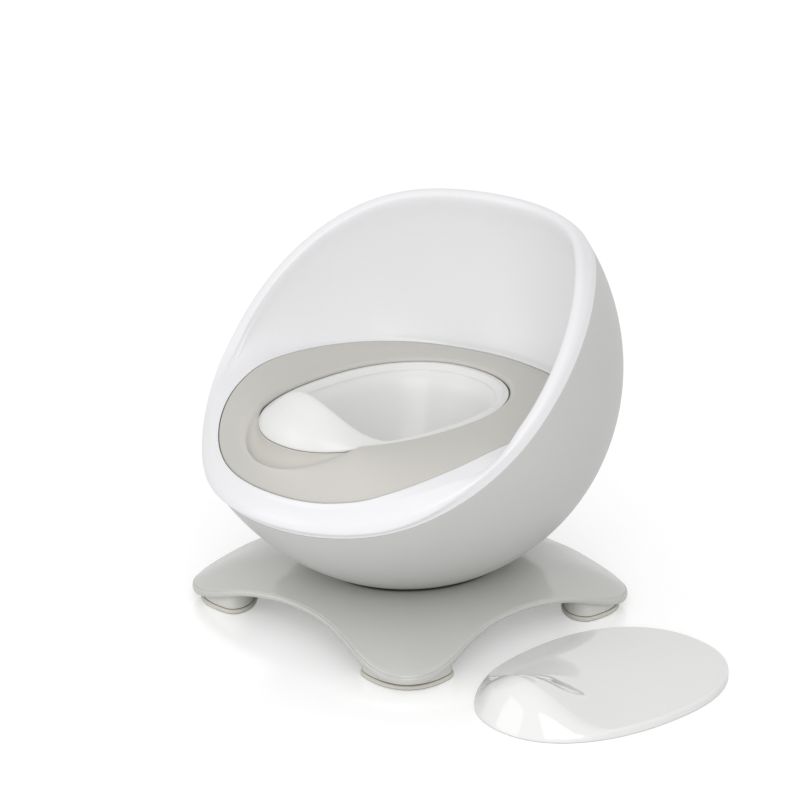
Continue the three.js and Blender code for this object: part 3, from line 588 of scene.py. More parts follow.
def inner_shell_section(angle):
    rim_height = crossing(RIM, RIM_SHARES, angle)
    rim_radius = ball_radius(angle, rim_height)
    seam_height = crossing(SEAM, SEAM_SHARES, angle) + REST_GAP
    edge_radius = outline_radius(RING_OUTLINE, angle)
    edge = edge_height(RING_EDGE, RING_EDGE_SHARES, y_at(angle, edge_radius))
    wall_share = ease(APRON_BELOW, APRON_ABOVE, rim_height - edge)
    apron_rise = (edge - rim_height) * APRON_RISE_SHARE

    lip = []
    shares = zip(LIP_INWARD_SHARES, LIP_WALL_SHARES, APRON_INWARD_SHARES, APRON_RISE_SHARES)
    for inward, drop, apron_inward, rise in shares:
        across = mix(apron_inward * LIP_APRON_WIDTH, inward * LIP_WIDTH, wall_share)
        up = mix(rise * apron_rise, drop * LIP_ROUND, wall_share)
        lip.append((rim_radius - across, rim_height + up))
    low_radius, low_height = lip[0]
    lip[0] = (mix(low_radius, ball_radius(angle, low_height), wall_share), low_height)
    inner_radius, inner_height = lip[-1]

    ledge_radius = edge_radius + SLIDE_GAP
    landing_radius, landing = ledge_radius + LEDGE_ROUND, edge + REST_GAP
    curve_radius = mix(inner_radius, landing_radius, APRON_CURVE_SHARES[0])
    curve_height = mix(inner_height, landing, APRON_CURVE_SHARES[1])
    landing_reach = mix(landing_radius, inner_radius, LANDING_REACH_SHARE)
    landing_rise = mix(mix(landing, inner_height, LANDING_RISE_SHARE), landing, wall_share)
    middle = mix(inner_height, landing, 0.5)
    swell = ball_radius(angle, middle) - ball_radius(angle, inner_height)
    hold = ease(0, WALL_HOLD_SHARE, wall_share)
    wall = []
    for t in np.arange(1, WALL_STATIONS + 1) / WALL_STATIONS:
        weights = ((1 - t) ** 3, 3 * t * (1 - t) ** 2, 3 * t * t * (1 - t), t ** 3)
        spans = (inner_radius, mix(curve_radius, inner_radius + swell, wall_share),
                 landing_reach, landing_radius)
        heights = (inner_height, mix(curve_height, middle, wall_share), landing_rise, landing)
        radius = sum(w * s for w, s in zip(weights, spans))
        height = sum(w * h for w, h in zip(weights, heights))
        limit = ball_radius(angle, height, LIP_WIDTH)
        wall.append((mix(radius, soft_least(radius, limit, WALL_BLEND), hold), height))

    deck = edge - DECK_DROP
    well_radius = outline_radius(POT_OUTLINE, angle) + WELL_GAP
    well_bottom = well_radius * WELL_BOTTOM_SHARE
    well_flat = well_bottom * WELL_FLAT_SHARE
    well_side = mix(well_bottom, well_radius, WELL_SIDE_SHARE)
    well_foot, well_head = WELL_FLOOR + WELL_CORNER / 4, WELL_FLOOR + WELL_CORNER
    bend_out, bend_up = WELL_BEND_SHARES
    under_lip = rim_height - mix(LIP_APRON_DEPTH, LIP_WALL_DEPTH, wall_share)
    tongue_low = seam_height - TONGUE_DEPTH
    tongue_outer = OUTER_WALL + SLIDE_GAP
    tongue_inner = tongue_outer + TONGUE_WALL

    chain = [lip[-1]] + wall
    back = []
    for i, station in enumerate(WALL_BACK_STATIONS):
        before, after = chain[max(station - 1, 0)], chain[station + 1]
        run = (after[0] - before[0], after[1] - before[1])
        length = np.hypot(*run)
        radius = chain[station][0] - run[1] / length * INNER_WALL
        height = chain[station][1] + run[0] / length * INNER_WALL
        share = (i + 1) / (len(WALL_BACK_STATIONS) + 1)
        under_radius = ball_radius(angle, under_lip, tongue_inner)
        plain_radius = mix(under_radius, ledge_radius + INNER_WALL, share)
        plain_height = mix(under_lip, deck - INNER_WALL, share)
        back.append((
            mix(plain_radius, radius, wall_share), mix(plain_height, height, wall_share), 0,
        ))

    outside_middle = mix(seam_height, lip[0][1], 0.5)
    nodes = [
        (0, WELL_FLOOR, 0),
        (well_flat, WELL_FLOOR),
        (well_bottom, well_foot),
        (well_side, well_head),
        (mix(well_side, well_radius, bend_out), mix(well_head, deck, bend_up)),
        (well_radius, deck, WELL_EDGE_ROUND),
        (ledge_radius, deck, TIGHT_ROUND),
        (ledge_radius, landing, LANDING_ROUND),
        *wall[-2::-1],
        *lip[::-1],
        (ball_radius(angle, outside_middle), outside_middle),
        (ball_radius(angle, seam_height), seam_height, SMALL_ROUND),
        (ball_radius(angle, seam_height, tongue_outer), seam_height, HAIR_ROUND),
        (ball_radius(angle, tongue_low, tongue_outer), tongue_low, HAIR_ROUND),
        (ball_radius(angle, tongue_low, tongue_inner), tongue_low, HAIR_ROUND),
        (ball_radius(angle, under_lip, tongue_inner), under_lip, 0),
        *back,
        (ledge_radius + INNER_WALL, deck - INNER_WALL, 0),
        (well_radius + INNER_WALL, deck - INNER_WALL, 0),
        (well_side + INNER_WALL, well_head - INNER_WALL, 0),
        (well_bottom + INNER_WALL, well_foot - INNER_WALL, 0),
        (well_flat, WELL_FLOOR - INNER_WALL, 0),
        (0, WELL_FLOOR - INNER_WALL, 0),
    ]
    return section(nodes, len(angle), pieces=4)


def seat_ring_section(angle):
    share = scoop_share(angle)
    edge_radius = outline_radius(RING_OUTLINE, angle)
    edge = edge_height(RING_EDGE, RING_EDGE_SHARES, y_at(angle, edge_radius))
    pot_radius = outline_radius(POT_OUTLINE, angle) + SLIDE_GAP
    brow_radius = pot_radius + mix(RING_BROW_ROUND, SCOOP_WIDTH, share)
    brow = RING_BROW_HEIGHT - SCOOP_BROW_DROP * share
    floor = pot_edge_low(angle) - REST_GAP
    skirt = pot_radius - POT_FLANGE_WIDTH
    top = []
    for step in RING_STEPS:
        rise = (brow - edge) * (1 - step ** RING_SWELL_POWER)
        top.append((mix(brow_radius, edge_radius, step), edge + rise))
    inner_edge, lowest = edge_radius - RING_WALL, edge - RING_WALL / 2
    under = [
        (np.minimum(radius, inner_edge), np.maximum(height - RING_WALL, lowest))
        for radius, height in top[::2]
    ]
    hollow = []
    for across, start, down, up in SCOOP_STATIONS:
        radius = pot_radius + mix(RING_BROW_ROUND * start, SCOOP_WIDTH * across, share)
        dip = brow - SCOOP_DIP + (floor - brow + SCOOP_DIP) * up
        hollow.append((radius, mix(mix(brow, floor, down), dip, share)))
    dip_radius, dip_height = hollow[0]
    bottom = edge - DECK_DROP + REST_GAP
    nodes = [
        (edge_radius, edge, RING_EDGE_ROUND),
        *top[::-1],
        *hollow,
        (pot_radius, floor, RING_REST_ROUND),
        (skirt, floor, SMALL_ROUND),
        (skirt, floor - RING_SKIRT, SMALL_ROUND),
        (skirt + RING_WALL / 2, floor - RING_SKIRT, SMALL_ROUND),
        (dip_radius, mix(floor - RING_WALL / 2, dip_height - RING_WALL, share)),
        *under,
        (inner_edge, bottom, TIGHT_ROUND),
        (edge_radius, bottom, TIGHT_ROUND),
    ]
    return section(nodes, len(angle))


def pot_section(angle):
    share = guard_share(angle)
    outside = outline_radius(POT_OUTLINE, angle) - SLIDE_GAP
    low = pot_edge_low(angle)
    edge_top = low + POT_FLANGE_THICKNESS * POT_EDGE_SHARE
    lip_round = mix(POT_LIP_ROUND, GUARD_LIP_ROUND, share)
    setback = mix(POT_LIP_ROUND * POT_LIP_SETBACK_SHARE, GUARD_SETBACK, np.sqrt(share))
    crest = POT_RIM + GUARD_RISE * share
    crest_radius = outside - setback
    neck = outside - POT_FLANGE_WIDTH - SLIDE_GAP
    top = crest_radius - GUARD_CREST_ROUND * share - lip_round
    inside = np.minimum(top, neck - POT_WALL)
    shelf = POT_RIM - POT_FLANGE_THICKNESS - POT_LIP_ROUND / 2
    bowl = [(inside * (1 - inward), mix(shelf, POT_FLOOR, down)) for inward, down in BOWL_SHARES]
    face = [
        (mix(crest_radius, outside, outward), mix(edge_top, crest, up))
        for outward, up in GUARD_FACE_SHARES
    ]
    hollow = [
        (outside - POT_WALL, low),
        (face[1][0] - POT_WALL, face[1][1] - POT_WALL),
        (face[0][0] - POT_WALL / 2, face[0][1] - POT_WALL),
        (inside + POT_WALL, crest - POT_WALL * 2),
        (inside + POT_WALL, shelf),
    ]
    blend = ease(0, GUARD_HOLLOW_SHARE, share)
    beneath = []
    for (inward, down), (hollow_radius, hollow_height) in zip(FLANGE_SHARES, hollow):
        radius = mix(mix(outside, neck, inward), hollow_radius, blend)
        height = mix(low - POT_WALL * down, hollow_height, blend)
        beneath.append((radius, height, FLANGE_ROUND))
    turn_out, turn_down = POT_LIP_TURN_SHARES
    nodes = [
        (0, POT_FLOOR, 0),
        *bowl[::-1],
        (inside, shelf),
        (top, mix(POT_RIM, crest, POT_LIP_START_SHARE) - lip_round),
        (top + lip_round * turn_out, crest - lip_round * turn_down),
        (crest_radius, crest),
        *face,
        (outside, edge_top),
        (outside, low, TIGHT_ROUND),
        *beneath,
        *[(radius + POT_WALL, height - POT_WALL) for radius, height in bowl],
        (0, POT_FLOOR - POT_WALL, 0),
    ]
    return section(nodes, len(angle))


def lid_section(angle):
    share = guard_share(angle)
    outside = outline_radius(POT_OUTLINE, angle)
    setback = mix(LID_EDGE_ROUND, GUARD_SETBACK, np.sqrt(share))
    crest_radius = outside - setback
    crest = LID_RIM + LID_EDGE_ROUND / 2 + LID_RISE * share
    edge_top = mix(LID_RIM - LID_EDGE_ROUND / 2, LID_EDGE_ROUND, np.sqrt(share))
    face = [
        (mix(outside, crest_radius, inward), mix(edge_top, crest, up))
        for inward, up in LID_FACE_SHARES
    ]
    plate = [
        (crest_radius * (1 - step), mix(crest, LID_PLATE, ease(0, LID_PLATE_SHARE, step)))
        for step in LID_PLATE_STEPS
    ]
    top = [(outside, edge_top), *face, (crest_radius, crest), *plate]
    inside = outside - LID_WALL
    reach = inside - LID_WALL * LID_STEP_SHARE
    under = [
        (np.minimum(radius, reach), np.maximum(height - LID_WALL, REST_GAP))
        for radius, height in top[1:]
    ]
    nodes = [
        (0, LID_PLATE, 0),
        *top[::-1],
        (outside, 0, TIGHT_ROUND),
        (inside, 0, TIGHT_ROUND),
        *under,
        (0, LID_PLATE - LID_WALL, 0),
    ]
    return section(nodes, len(angle))


def side_share(angle):
    """0 at a corner of the platform, 1 in the middle of a side."""
    x, y = (np.sin(angle) / BASE_HALF_WIDTH) ** 2, (np.cos(angle) / BASE_HALF_DEPTH) ** 2
    return np.abs(x - y) / (x + y)


def base_reach(angle):
    x, y = np.abs(np.sin(angle)) / BASE_HALF_WIDTH, np.abs(np.cos(angle)) / BASE_HALF_DEPTH
    power = BASE_CORNER_POWER
    square = (x ** power + y ** power) ** (-1 / power)
    turn = side_share(angle)
    return square * (1 - BASE_PINCH_SHARE * turn ** 2 + BASE_PINCH_EASE_SHARE * turn ** 4)


def base_band(angle):
    """Heights of the lower and upper edge of the band round the platform."""
    turn = side_share(angle)
    arch = turn ** BASE_ARCH_POWER * ease(0, BASE_CORNER_FLAT, turn)
    low = BASE_CORNER_HEIGHT + BASE_ARCH_RISE * arch
    return low, low + mix(BASE_CORNER_EDGE, BASE_ARCH_EDGE, arch)


def base_crown(angle, share):
    return mix(BASE_CROWN, base_band(angle)[1], share ** BASE_CROWN_POWER)


def base_cup(angle, radius):
    x, y = radius * np.sin(angle), -radius * np.cos(angle)
    return ball_under(x, y, -REST_GAP)


def base_section(angle):
    reach = base_reach(angle)
    low, edge = base_band(angle)
    cup_radius = halve(
        *(np.full_like(angle, radius) for radius in BASE_CUP_SEARCH),
        lambda radius: base_cup(angle, radius) < base_crown(angle, radius / reach),
    )
    cup = [
        (cup_radius * share, base_cup(angle, cup_radius * share)) for share in BASE_CUP_SHARES
    ]
    top = []
    for share in BASE_TOP_SHARES:
        radius = mix(cup_radius, reach - BASE_TOP_INSET, share)
        top.append((radius, base_crown(angle, radius / reach)))
    inside = reach - BASE_WALL
    band = {name: mix(low, edge, share) for name, share in BASE_BAND_SHARES.items()}
    under = [(np.minimum(radius, inside), height - BASE_WALL) for radius, height in top[::-1]]
    cup_under = [(radius, height - BASE_WALL) for radius, height in cup[::-1]]
    cup_middle = base_cup(angle, 0.0)
    nodes = [
        (0, cup_middle, 0),
        *cup,
        (cup_radius, base_crown(angle, cup_radius / reach), SOFT_ROUND),
        *top,
        (reach - BASE_SHOULDER_INSET, edge - BASE_BAND_EASE, HAIR_ROUND),
        (reach - BASE_EDGE_INSET, edge),
        (reach, band["widest"]),
        (reach - BASE_BAND_EASE, band["lower"]),
        (reach - BASE_TUCK_INSET, low, BASE_BAND_ROUND),
        (inside - BASE_TUCK_INSET, low, BASE_BAND_ROUND),
        (inside - BASE_TUCK_INSET, band["inside"], SMALL_ROUND),
        *under,
        *cup_under,
        (0, cup_middle - BASE_WALL, 0),
    ]
    return section(nodes, len(angle))


def foot_outline(turn, inset):
    """Distance from a foot's middle to its edge, drawn to the outline of the base's corner."""
    across = np.abs(np.sin(turn)) / (FOOT_HALF_WIDTH - inset)
    out = np.abs(np.cos(turn)) / (FOOT_HALF_DEPTH - inset)
    block = (across ** FOOT_POWER + out ** FOOT_POWER) ** (-1 / FOOT_POWER)

    def inside(reach):
        x, y = foot_place(turn, reach)
        return np.hypot(x, y) < base_reach(np.arctan2(x, -y)) - FOOT_INSET - inset
    corner = halve(np.zeros_like(turn), np.full_like(turn, FOOT_SEARCH), inside)
    return soft_least(block, corner, FOOT_BLEND)


def foot_place(turn, reach):
    """Place on the floor plane, from the base's middle, of a point turned about the first foot."""
    out = FOOT_REACH + reach * np.cos(turn)
    aside = reach * np.sin(turn)
    sine, cosine = math.sin(CORNER_TURN), math.cos(CORNER_TURN)
    return out * sine - aside * cosine, -(out * cosine + aside * sine)


def foot_loft(name, rows, count, material):
    """A closed body about the first foot's middle, from rows of (reach, height)."""
    turn = np.arange(count) * 2 * np.pi / count
    body = np.array([
        np.stack([np.broadcast_to(value, count) for value in row], axis=1) for row in rows
    ])
    x, y = foot_place(turn, body[1:-1, :, 0])
    corners = np.stack([x, y, body[1:-1, :, 1]], axis=2).reshape(-1, 3)
    middle = foot_place(0.0, 0.0)
    corners = np.vstack([corners, [[*middle, body[0, 0, 1]], [*middle, body[-1, 0, 1]]]])
    faces = facing_out(corners, loft_faces(len(body) - 2, count, False))
    return mesh_piece(name, corners * MM, faces, material)


def rounded_rows(outline, low, high, size, pieces=5):
    """Rows up a foot's side, with its top and bottom edges rounded."""
    rows = []
    for t in np.linspace(0, np.pi / 2, pieces):
        rows.append((outline - size * (1 - np.sin(t)), low + size * (1 - np.cos(t))))
    for t in np.linspace(0, np.pi / 2, pieces):
        rows.append((outline - size * (1 - np.cos(t)), high - size * (1 - np.sin(t))))
    return rows


def foot_cup_rows(turn):
    outline = foot_outline(turn, FOOT_CUP_INSET)
    low = PAD_THICKNESS + REST_GAP

    def roof(share):
        x, y = foot_place(turn, outline * share)
        angle = np.arctan2(x, -y)
        share_out = np.hypot(x, y) / base_reach(angle)
        return base_crown(angle, share_out) - BASE_WALL - REST_GAP
    rows = [(0, low), *((outline * share, low) for share in FOOT_FLAT_SHARES)]
    rows += rounded_rows(outline, low, roof(1), SMALL_ROUND, 4)
    rows += [(outline * share, roof(share)) for share in FOOT_ROOF_SHARES]
    return rows + [(0, roof(NEAR_MIDDLE)[0])]


def foot_pad_rows(turn):
    outline = foot_outline(turn, 0)
    rows = [(0, 0)]
    for share in PAD_GROOVES:
        rows += [(outline * (share + aside), depth) for aside, depth in PAD_GROOVE_SHAPE]
    rows += rounded_rows(outline, 0, PAD_THICKNESS, PAD_ROUND)
    rows += [(outline * share, PAD_THICKNESS) for share in reversed(FOOT_FLAT_SHARES)]
    return rows + [(0, PAD_THICKNESS)]


def screw_section(seat, angle):
    """Pan-head screw standing on its head, with a cross recess."""
    arm = np.maximum(np.abs(np.cos(2 * angle)) ** SCREW_CROSS_POWER, SCREW_CROSS_LEAST)
    recess = arm * SCREW_HEAD_RADIUS * SCREW_CROSS_SHARE
    head_low = seat - SCREW_HEAD_HEIGHT
    side_low = head_low + SCREW_CROSS_SIDE_DEPTH
    nodes = [
        (0, head_low + SCREW_CROSS_DEPTH, 0),
        (recess * SCREW_CROSS_FLOOR_SHARE, side_low, SCREW_ROUNDS["cross"]),
        (recess, head_low, SCREW_ROUNDS["cross_edge"]),
        (SCREW_HEAD_RADIUS * SCREW_HEAD_FLAT_SHARE, head_low, SOFT_ROUND),
        (SCREW_HEAD_RADIUS, head_low + SCREW_HEAD_HEIGHT / 2, TIGHT_ROUND),
        (SCREW_HEAD_RADIUS, seat, SCREW_ROUNDS["seat"]),
        (SCREW_RADIUS, seat, SCREW_ROUNDS["seat"]),
        (SCREW_RADIUS, seat + SCREW_LENGTH - SCREW_RADIUS, SCREW_ROUNDS["tip"]),
        (0, seat + SCREW_LENGTH, 0),
    ]
    return section(nodes, len(angle), pieces=2, corner_pieces=3)


def feed(tree, value, socket):
    """Gives an input socket a plain value, or links another socket to it."""
    if isinstance(value, bpy.types.NodeSocket):
        tree.links.new(value, socket)
    else:
        socket.default_value = value


def sums(tree, operation, a, b):
    """The output of a new Math node on two values or sockets."""
    node = tree.nodes.new("ShaderNodeMath")
    node.operation = operation
    feed(tree, a, node.inputs[0])
    feed(tree, b, node.inputs[1])
    return node.outputs[0]


def corners_tree():
    """Sets a piece and its mirror twin at even turns about the base's middle."""
    tree = bpy.data.node_groups.new("corners_about_base", "GeometryNodeTree")
    sockets = [
        ("Geometry", "NodeSocketGeometry"), ("Pairs", "NodeSocketInt"),
        ("Middle", "NodeSocketVector"), ("Material", "NodeSocketMaterial"),
    ]
    for name, kind in sockets:
        tree.interface.new_socket(name, in_out="INPUT", socket_type=kind)
    tree.interface.new_socket("Geometry", in_out="OUTPUT", socket_type="NodeSocketGeometry")
    given = tree.nodes.new("NodeGroupInput")
    result = tree.nodes.new("NodeGroupOutput")
    mirror = tree.nodes.new("GeometryNodeTransform")
    mirror.inputs["Scale"].default_value = (-1, 1, 1)
    flip = tree.nodes.new("GeometryNodeFlipFaces")
    pair = tree.nodes.new("GeometryNodeJoinGeometry")
    points = tree.nodes.new("GeometryNodePoints")
    index = tree.nodes.new("GeometryNodeInputIndex")
    step = sums(tree, "DIVIDE", 2 * math.pi, given.outputs["Pairs"])
    turn = sums(tree, "MULTIPLY", index.outputs[0], step)
    spin = tree.nodes.new("ShaderNodeCombineXYZ")
    place = tree.nodes.new("GeometryNodeInstanceOnPoints")
    realize = tree.nodes.new("GeometryNodeRealizeInstances")
    painted = tree.nodes.new("GeometryNodeSetMaterial")
    links = [
        (given.outputs["Geometry"], mirror.inputs["Geometry"]),
        (mirror.outputs[0], flip.inputs[0]),
        (flip.outputs[0], pair.inputs[0]),
        (given.outputs["Geometry"], pair.inputs[0]),
        (given.outputs["Pairs"], points.inputs["Count"]),
        (given.outputs["Middle"], points.inputs["Position"]),
        (turn, spin.inputs["Z"]),
        (points.outputs[0], place.inputs["Points"]),
        (pair.outputs[0], place.inputs["Instance"]),
        (spin.outputs[0], place.inputs["Rotation"]),
        (place.outputs[0], realize.inputs[0]),
        (realize.outputs[0], painted.inputs["Geometry"]),
        (given.outputs["Material"], painted.inputs["Material"]),
        (painted.outputs[0], result.inputs[0]),
    ]
    for start, end in links:
        tree.links.new(start, end)
    return tree


def set_at_corners(first, material, tree):
    """Turns one piece, made about the base's middle, into a plain mesh of all four."""
    maker = first.modifiers.new("corners", "NODES")
    maker.node_group = tree
    values = {"Pairs": CORNER_PAIRS, "Middle": CHAIR_CENTRE, "Material": material}
    for item in tree.interface.items_tree:
        if item.in_out == "INPUT" and item.name in values:
            maker[item.identifier] = values[item.name]
    bpy.context.view_layer.update()
    evaluated = first.evaluated_get(bpy.context.evaluated_depsgraph_get())
    mesh = bpy.data.meshes.new_from_object(evaluated)
    first.modifiers.clear()
    plain = first.data
    first.data = mesh
    bpy.data.meshes.remove(plain)
    mesh.name = first.name
    mesh.polygons.foreach_set("use_smooth", [True] * len(mesh.polygons))
    return first


def surface_group():
    """Moulded plastic: waviness, grain, cloudiness, rubbing marks, and painted shade in gaps."""
    tree = bpy.data.node_groups.new("moulded_surface", "ShaderNodeTree")
    inputs = [
        ("Color", "NodeSocketColor", (0.8, 0.8, 0.8, 1)), ("Tint", "NodeSocketFloat", 0.03),
        ("Roughness", "NodeSocketFloat", 0.3), ("Roughness Spread", "NodeSocketFloat", 0.04),
        ("Wave", "NodeSocketFloat", 1), ("Grain", "NodeSocketFloat", 0.15),
        ("Grain Scale", "NodeSocketFloat", 900), ("Rub", "NodeSocketFloat", 0.04),
    ]
    for name, kind, value in inputs:
        socket = tree.interface.new_socket(name, in_out="INPUT", socket_type=kind)
        socket.default_value = value
    for name, kind in (("Color", "NodeSocketColor"), ("Roughness", "NodeSocketFloat"),
                       ("Height", "NodeSocketFloat")):
        tree.interface.new_socket(name, in_out="OUTPUT", socket_type=kind)
    given = tree.nodes.new("NodeGroupInput").outputs
    result = tree.nodes.new("NodeGroupOutput").inputs
    place = tree.nodes.new("ShaderNodeTexCoord").outputs["Object"]

    def noise(scale, detail, where=place):
        node = tree.nodes.new("ShaderNodeTexNoise")
        for name, setting in {"Scale": scale, "Detail": detail, "Vector": where}.items():
            feed(tree, setting, node.inputs[name])
        return node.outputs["Fac"]

    def noise_about_zero(scale, detail):
        return sums(tree, "SUBTRACT", noise(scale, detail), 0.5)

    def in_band(value, band, least=0):
        node = tree.nodes.new("ShaderNodeMapRange")
        low, high = band
        settings = {"Value": value, "From Min": low, "From Max": high, "To Min": least}
        for name, setting in settings.items():
            feed(tree, setting, node.inputs[name])
        return node.outputs[0]

    # Painted shade: the colour is darkened where an Ambient Occlusion node finds other surfaces
    # within a few millimetres
    gaps = tree.nodes.new("ShaderNodeAmbientOcclusion")
    gaps.samples = CREVICE_SAMPLES
    gaps.inputs["Distance"].default_value = CREVICE_REACH
    painted_gap_shade = in_band(gaps.outputs["AO"], CREVICE_BAND, CREVICE_SHADE)
    cloud = sums(tree, "MULTIPLY", noise_about_zero(CLOUD_SCALE, CLOUD_DETAIL), given["Tint"])
    shade = sums(tree, "MULTIPLY", sums(tree, "ADD", 1, cloud), painted_gap_shade)
    tinted = tree.nodes.new("ShaderNodeVectorMath")
    tinted.operation = "SCALE"
    feed(tree, given["Color"], tinted.inputs[0])
    feed(tree, shade, tinted.inputs["Scale"])
    feed(tree, tinted.outputs[0], result["Color"])

    stretch = tree.nodes.new("ShaderNodeMapping")
    settings = {"Vector": place, "Scale": MARK_SCALES, "Rotation": MARK_TURNS}
    for name, setting in settings.items():
        feed(tree, setting, stretch.inputs[name])
    marks = in_band(noise(1, MARK_DETAIL, stretch.outputs[0]), MARK_BAND)
    rubbed = sums(tree, "MULTIPLY", marks, given["Rub"])
    sheen = noise_about_zero(SHEEN_SCALE, SHEEN_DETAIL)
    spread = sums(tree, "MULTIPLY", sheen, given["Roughness Spread"])
    rough = sums(tree, "ADD", sums(tree, "ADD", given["Roughness"], spread), rubbed)
    feed(tree, rough, result["Roughness"])

    wave = sums(tree, "MULTIPLY", noise(WAVE_SCALE, WAVE_DETAIL), given["Wave"])
    grain = sums(tree, "MULTIPLY", noise(given["Grain Scale"], GRAIN_DETAIL), given["Grain"])
    feed(tree, sums(tree, "ADD", wave, grain), result["Height"])
    return tree


SURFACE = surface_group()


def finish(name, color, roughness, coat=0, metallic=0, **detail):
    """A material of this object, with its surface detail from the shared group."""
    material = bpy.data.materials.new(name)
    material.use_nodes = True
    tree = material.node_tree
    shader = tree.nodes["Principled BSDF"].inputs
    surface = tree.nodes.new("ShaderNodeGroup")
    surface.node_tree = SURFACE
    surface.inputs["Color"].default_value = (*color, 1)
    surface.inputs["Roughness"].default_value = roughness
    for key, value in detail.items():
        surface.inputs[key.replace("_", " ").title()].default_value = value
    relief = tree.nodes.new("ShaderNodeBump")
    relief.inputs["Distance"].default_value = RELIEF_DEPTH
    feed(tree, surface.outputs["Height"], relief.inputs["Height"])
    feed(tree, surface.outputs["Color"], shader["Base Color"])
    feed(tree, surface.outputs["Roughness"], shader["Roughness"])
    feed(tree, relief.outputs["Normal"], shader["Normal"])
    shader["Metallic"].default_value = metallic
    shader["Coat Weight"].default_value = coat
    shader["Coat Roughness"].default_value = COAT_ROUGHNESS
    return material


WHITE_SHELL = finish("white_shell_plastic", (0.84, 0.84, 0.855), 0.31, coat=0.12)
WHITE_POT = finish("white_pot_plastic", (0.79, 0.79, 0.78), 0.34, coat=0.1, wave=0.5)
WHITE_LID = finish("white_lid_plastic", (0.84, 0.84, 0.83), 0.06, coat=0.5,
                   wave=0.3, rub=0.01, roughness_spread=0.02)
GREY_OUTER = finish("light_grey_shell_plastic", (0.575, 0.58, 0.565), 0.34, coat=0.15)
GREIGE_RING = finish("greige_ring_plastic", (0.575, 0.56, 0.52), 0.44, grain=0.5, wave=0.5)
GREY_BASE = finish("mid_grey_base_plastic", (0.55, 0.555, 0.53), 0.11, coat=0.4,
                   wave=0.5, rub=0.01)
GREY_FOOT = finish("grey_foot_plastic", (0.66, 0.655, 0.62), 0.21, rub=0.01)
SOFT_PAD = finish("soft_pad_rubber", (0.64, 0.62, 0.56), 0.7,
                  grain=1, rub=0.1, roughness_spread=0.1)
STEEL = finish("screw_steel", (0.5, 0.5, 0.51), 0.32, metallic=1, rub=0.2)


def settle(piece, body, slot, *nodes):
    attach(piece, body)
    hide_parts(*nodes)


def numbered(stem):
    return [f"{stem}_{i}" for i in range(1, 5)]


def build_chair():
    lid_middle = (LID_PLACE[0], BALL_CENTRE_Y + LID_PLACE[1])
    ball, base = (BALL_MIDDLE, 0), ((0, 0), BASE_CORNER_GATHER)
    pieces = [
        ("outer_shell", outer_shell_section, GREY_OUTER, ball, "chair", "outer_grey"),
        ("inner_shell", inner_shell_section, WHITE_SHELL, ball, "chair", "shell_white"),
        ("base_platform", base_section, GREY_BASE, base, "chair", "base_grey"),
        ("seat_ring", seat_ring_section, GREIGE_RING, ball, "seat", "ring_greige"),
        ("pot", pot_section, WHITE_POT, ball, "pot", "pot_white"),
        ("lid", lid_section, WHITE_LID, (lid_middle, 0), "lid", "pot_white"),
    ]
    for node, section_at, material, (middle, gather), body, slot in pieces:
        piece = loft(f"{node}_skin", section_at, STEPS_ROUND, material, middle, node, gather)
        settle(piece, body, slot, node)


def build_feet(tree):
    turn = np.arange(FOOT_STEPS) * 2 * np.pi / FOOT_STEPS
    cups = foot_loft("foot_cups", foot_cup_rows(turn), FOOT_STEPS, GREY_FOOT)
    settle(set_at_corners(cups, GREY_FOOT, tree), "chair", "foot_grey", *numbered("foot_cup"))
    pads = foot_loft("foot_pads", foot_pad_rows(turn), FOOT_STEPS, SOFT_PAD)
    settle(set_at_corners(pads, SOFT_PAD, tree), "chair", "soft_pad", *numbered("foot_pad"))


def build_screws_and_grips():
    for i, name in enumerate(numbered("base_screw")):
        turn = i * math.pi / 2
        x, y = BASE_SCREW_REACH * math.sin(turn), -BASE_SCREW_REACH * math.cos(turn)
        seat = ball_under(x, y) - SCREW_DEPTH
        section_at = partial(screw_section, seat)
        screw = loft(f"{name}_skin", section_at, SCREW_STEPS, STEEL, (x, y), name)
        settle(screw, "chair", "screw_steel", name)
    carried = (("foot_screw", STEEL), ("shell_screw", STEEL), ("ring_grip", SOFT_PAD))
    for stem, material in carried:
        for name in numbered(stem):
            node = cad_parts[name]
            node.data.materials.clear()
            node.data.materials.append(material)


def build_floor():
    """A pale floor that is lifted to white for the camera and keeps its shadow."""
    sides = ((-1, -1), (1, -1), (1, 1), (-1, 1))
    corners = [(x * FLOOR_HALF, y * FLOOR_HALF, 0) for x, y in sides]
    material = bpy.data.materials.new("pale_floor")
    material.use_nodes = True
    tree = material.node_tree
    shader = tree.nodes["Principled BSDF"].inputs
    seen = tree.nodes.new("ShaderNodeLightPath").outputs["Is Camera Ray"]
    shader["Base Color"].default_value = FLOOR_COLOR
    shader["Roughness"].default_value = FLOOR_ROUGHNESS
    shader["Emission Color"].default_value = WHITE
    feed(tree, sums(tree, "MULTIPLY", seen, FLOOR_LIFT), shader["Emission Strength"])
    mesh_piece("floor", corners, [(0, 1, 2, 3)], material)


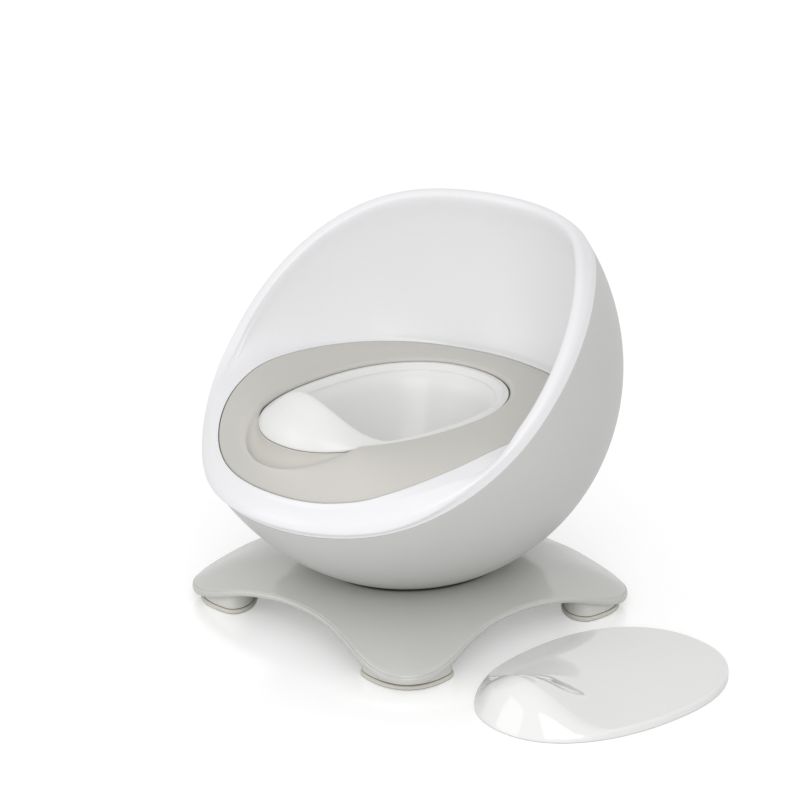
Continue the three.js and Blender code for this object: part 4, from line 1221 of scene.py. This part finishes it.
def build_world():
    """A room that is plain white to look at, in mirrors too, and less bright as a light."""
    world = bpy.data.worlds.new("white_room")
    bpy.context.scene.world = world
    world.use_nodes = True
    tree = world.node_tree
    path = tree.nodes.new("ShaderNodeLightPath").outputs
    seen = path["Is Camera Ray"]
    for ray in ("Is Glossy Ray", "Is Transmission Ray"):
        seen = sums(tree, "MAXIMUM", seen, path[ray])
    strength = tree.nodes.new("ShaderNodeMapRange")
    feed(tree, seen, strength.inputs["Value"])
    feed(tree, WORLD_STRENGTH, strength.inputs["To Min"])
    background = tree.nodes["Background"].inputs
    background["Color"].default_value = WHITE
    feed(tree, strength.outputs[0], background["Strength"])


def build_lamps():
    for name, place, size, power in LAMPS:
        lamp = bpy.data.lights.new(name, "AREA")
        lamp.size = size
        lamp.energy = power
        holder = bpy.data.objects.new(name, lamp)
        holder.location = place
        aim = LAMP_AIM + CHAIR_CENTRE - Vector(place)
        holder.rotation_euler = aim.to_track_quat("-Z", "Y").to_euler()
        bpy.context.scene.collection.objects.link(holder)


def build_camera():
    camera = bpy.data.cameras.new("camera")
    camera.sensor_width = SENSOR_WIDTH
    camera.lens = FOCAL_PIXELS / PHOTO_SIDE * SENSOR_WIDTH
    camera.shift_x = (PHOTO_SIDE / 2 - TARGET_PIXEL[0]) / PHOTO_SIDE
    camera.shift_y = (TARGET_PIXEL[1] - PHOTO_SIDE / 2) / PHOTO_SIDE
    back = Vector((
        math.sin(CAMERA_AZIMUTH) * math.cos(CAMERA_ELEVATION),
        -math.cos(CAMERA_AZIMUTH) * math.cos(CAMERA_ELEVATION),
        math.sin(CAMERA_ELEVATION),
    ))
    holder = bpy.data.objects.new("camera", camera)
    holder.location = CHAIR_CENTRE + Vector((0, 0, CAMERA_TARGET_HEIGHT)) + back * CAMERA_DISTANCE
    holder.rotation_euler = (-back).to_track_quat("-Z", "Y").to_euler()
    bpy.context.scene.collection.objects.link(holder)
    bpy.context.scene.camera = holder


bpy.context.scene.view_settings.view_transform = "Standard"
build_chair()
build_feet(corners_tree())
build_screws_and_grips()
build_floor()
build_world()
build_lamps()
build_camera()
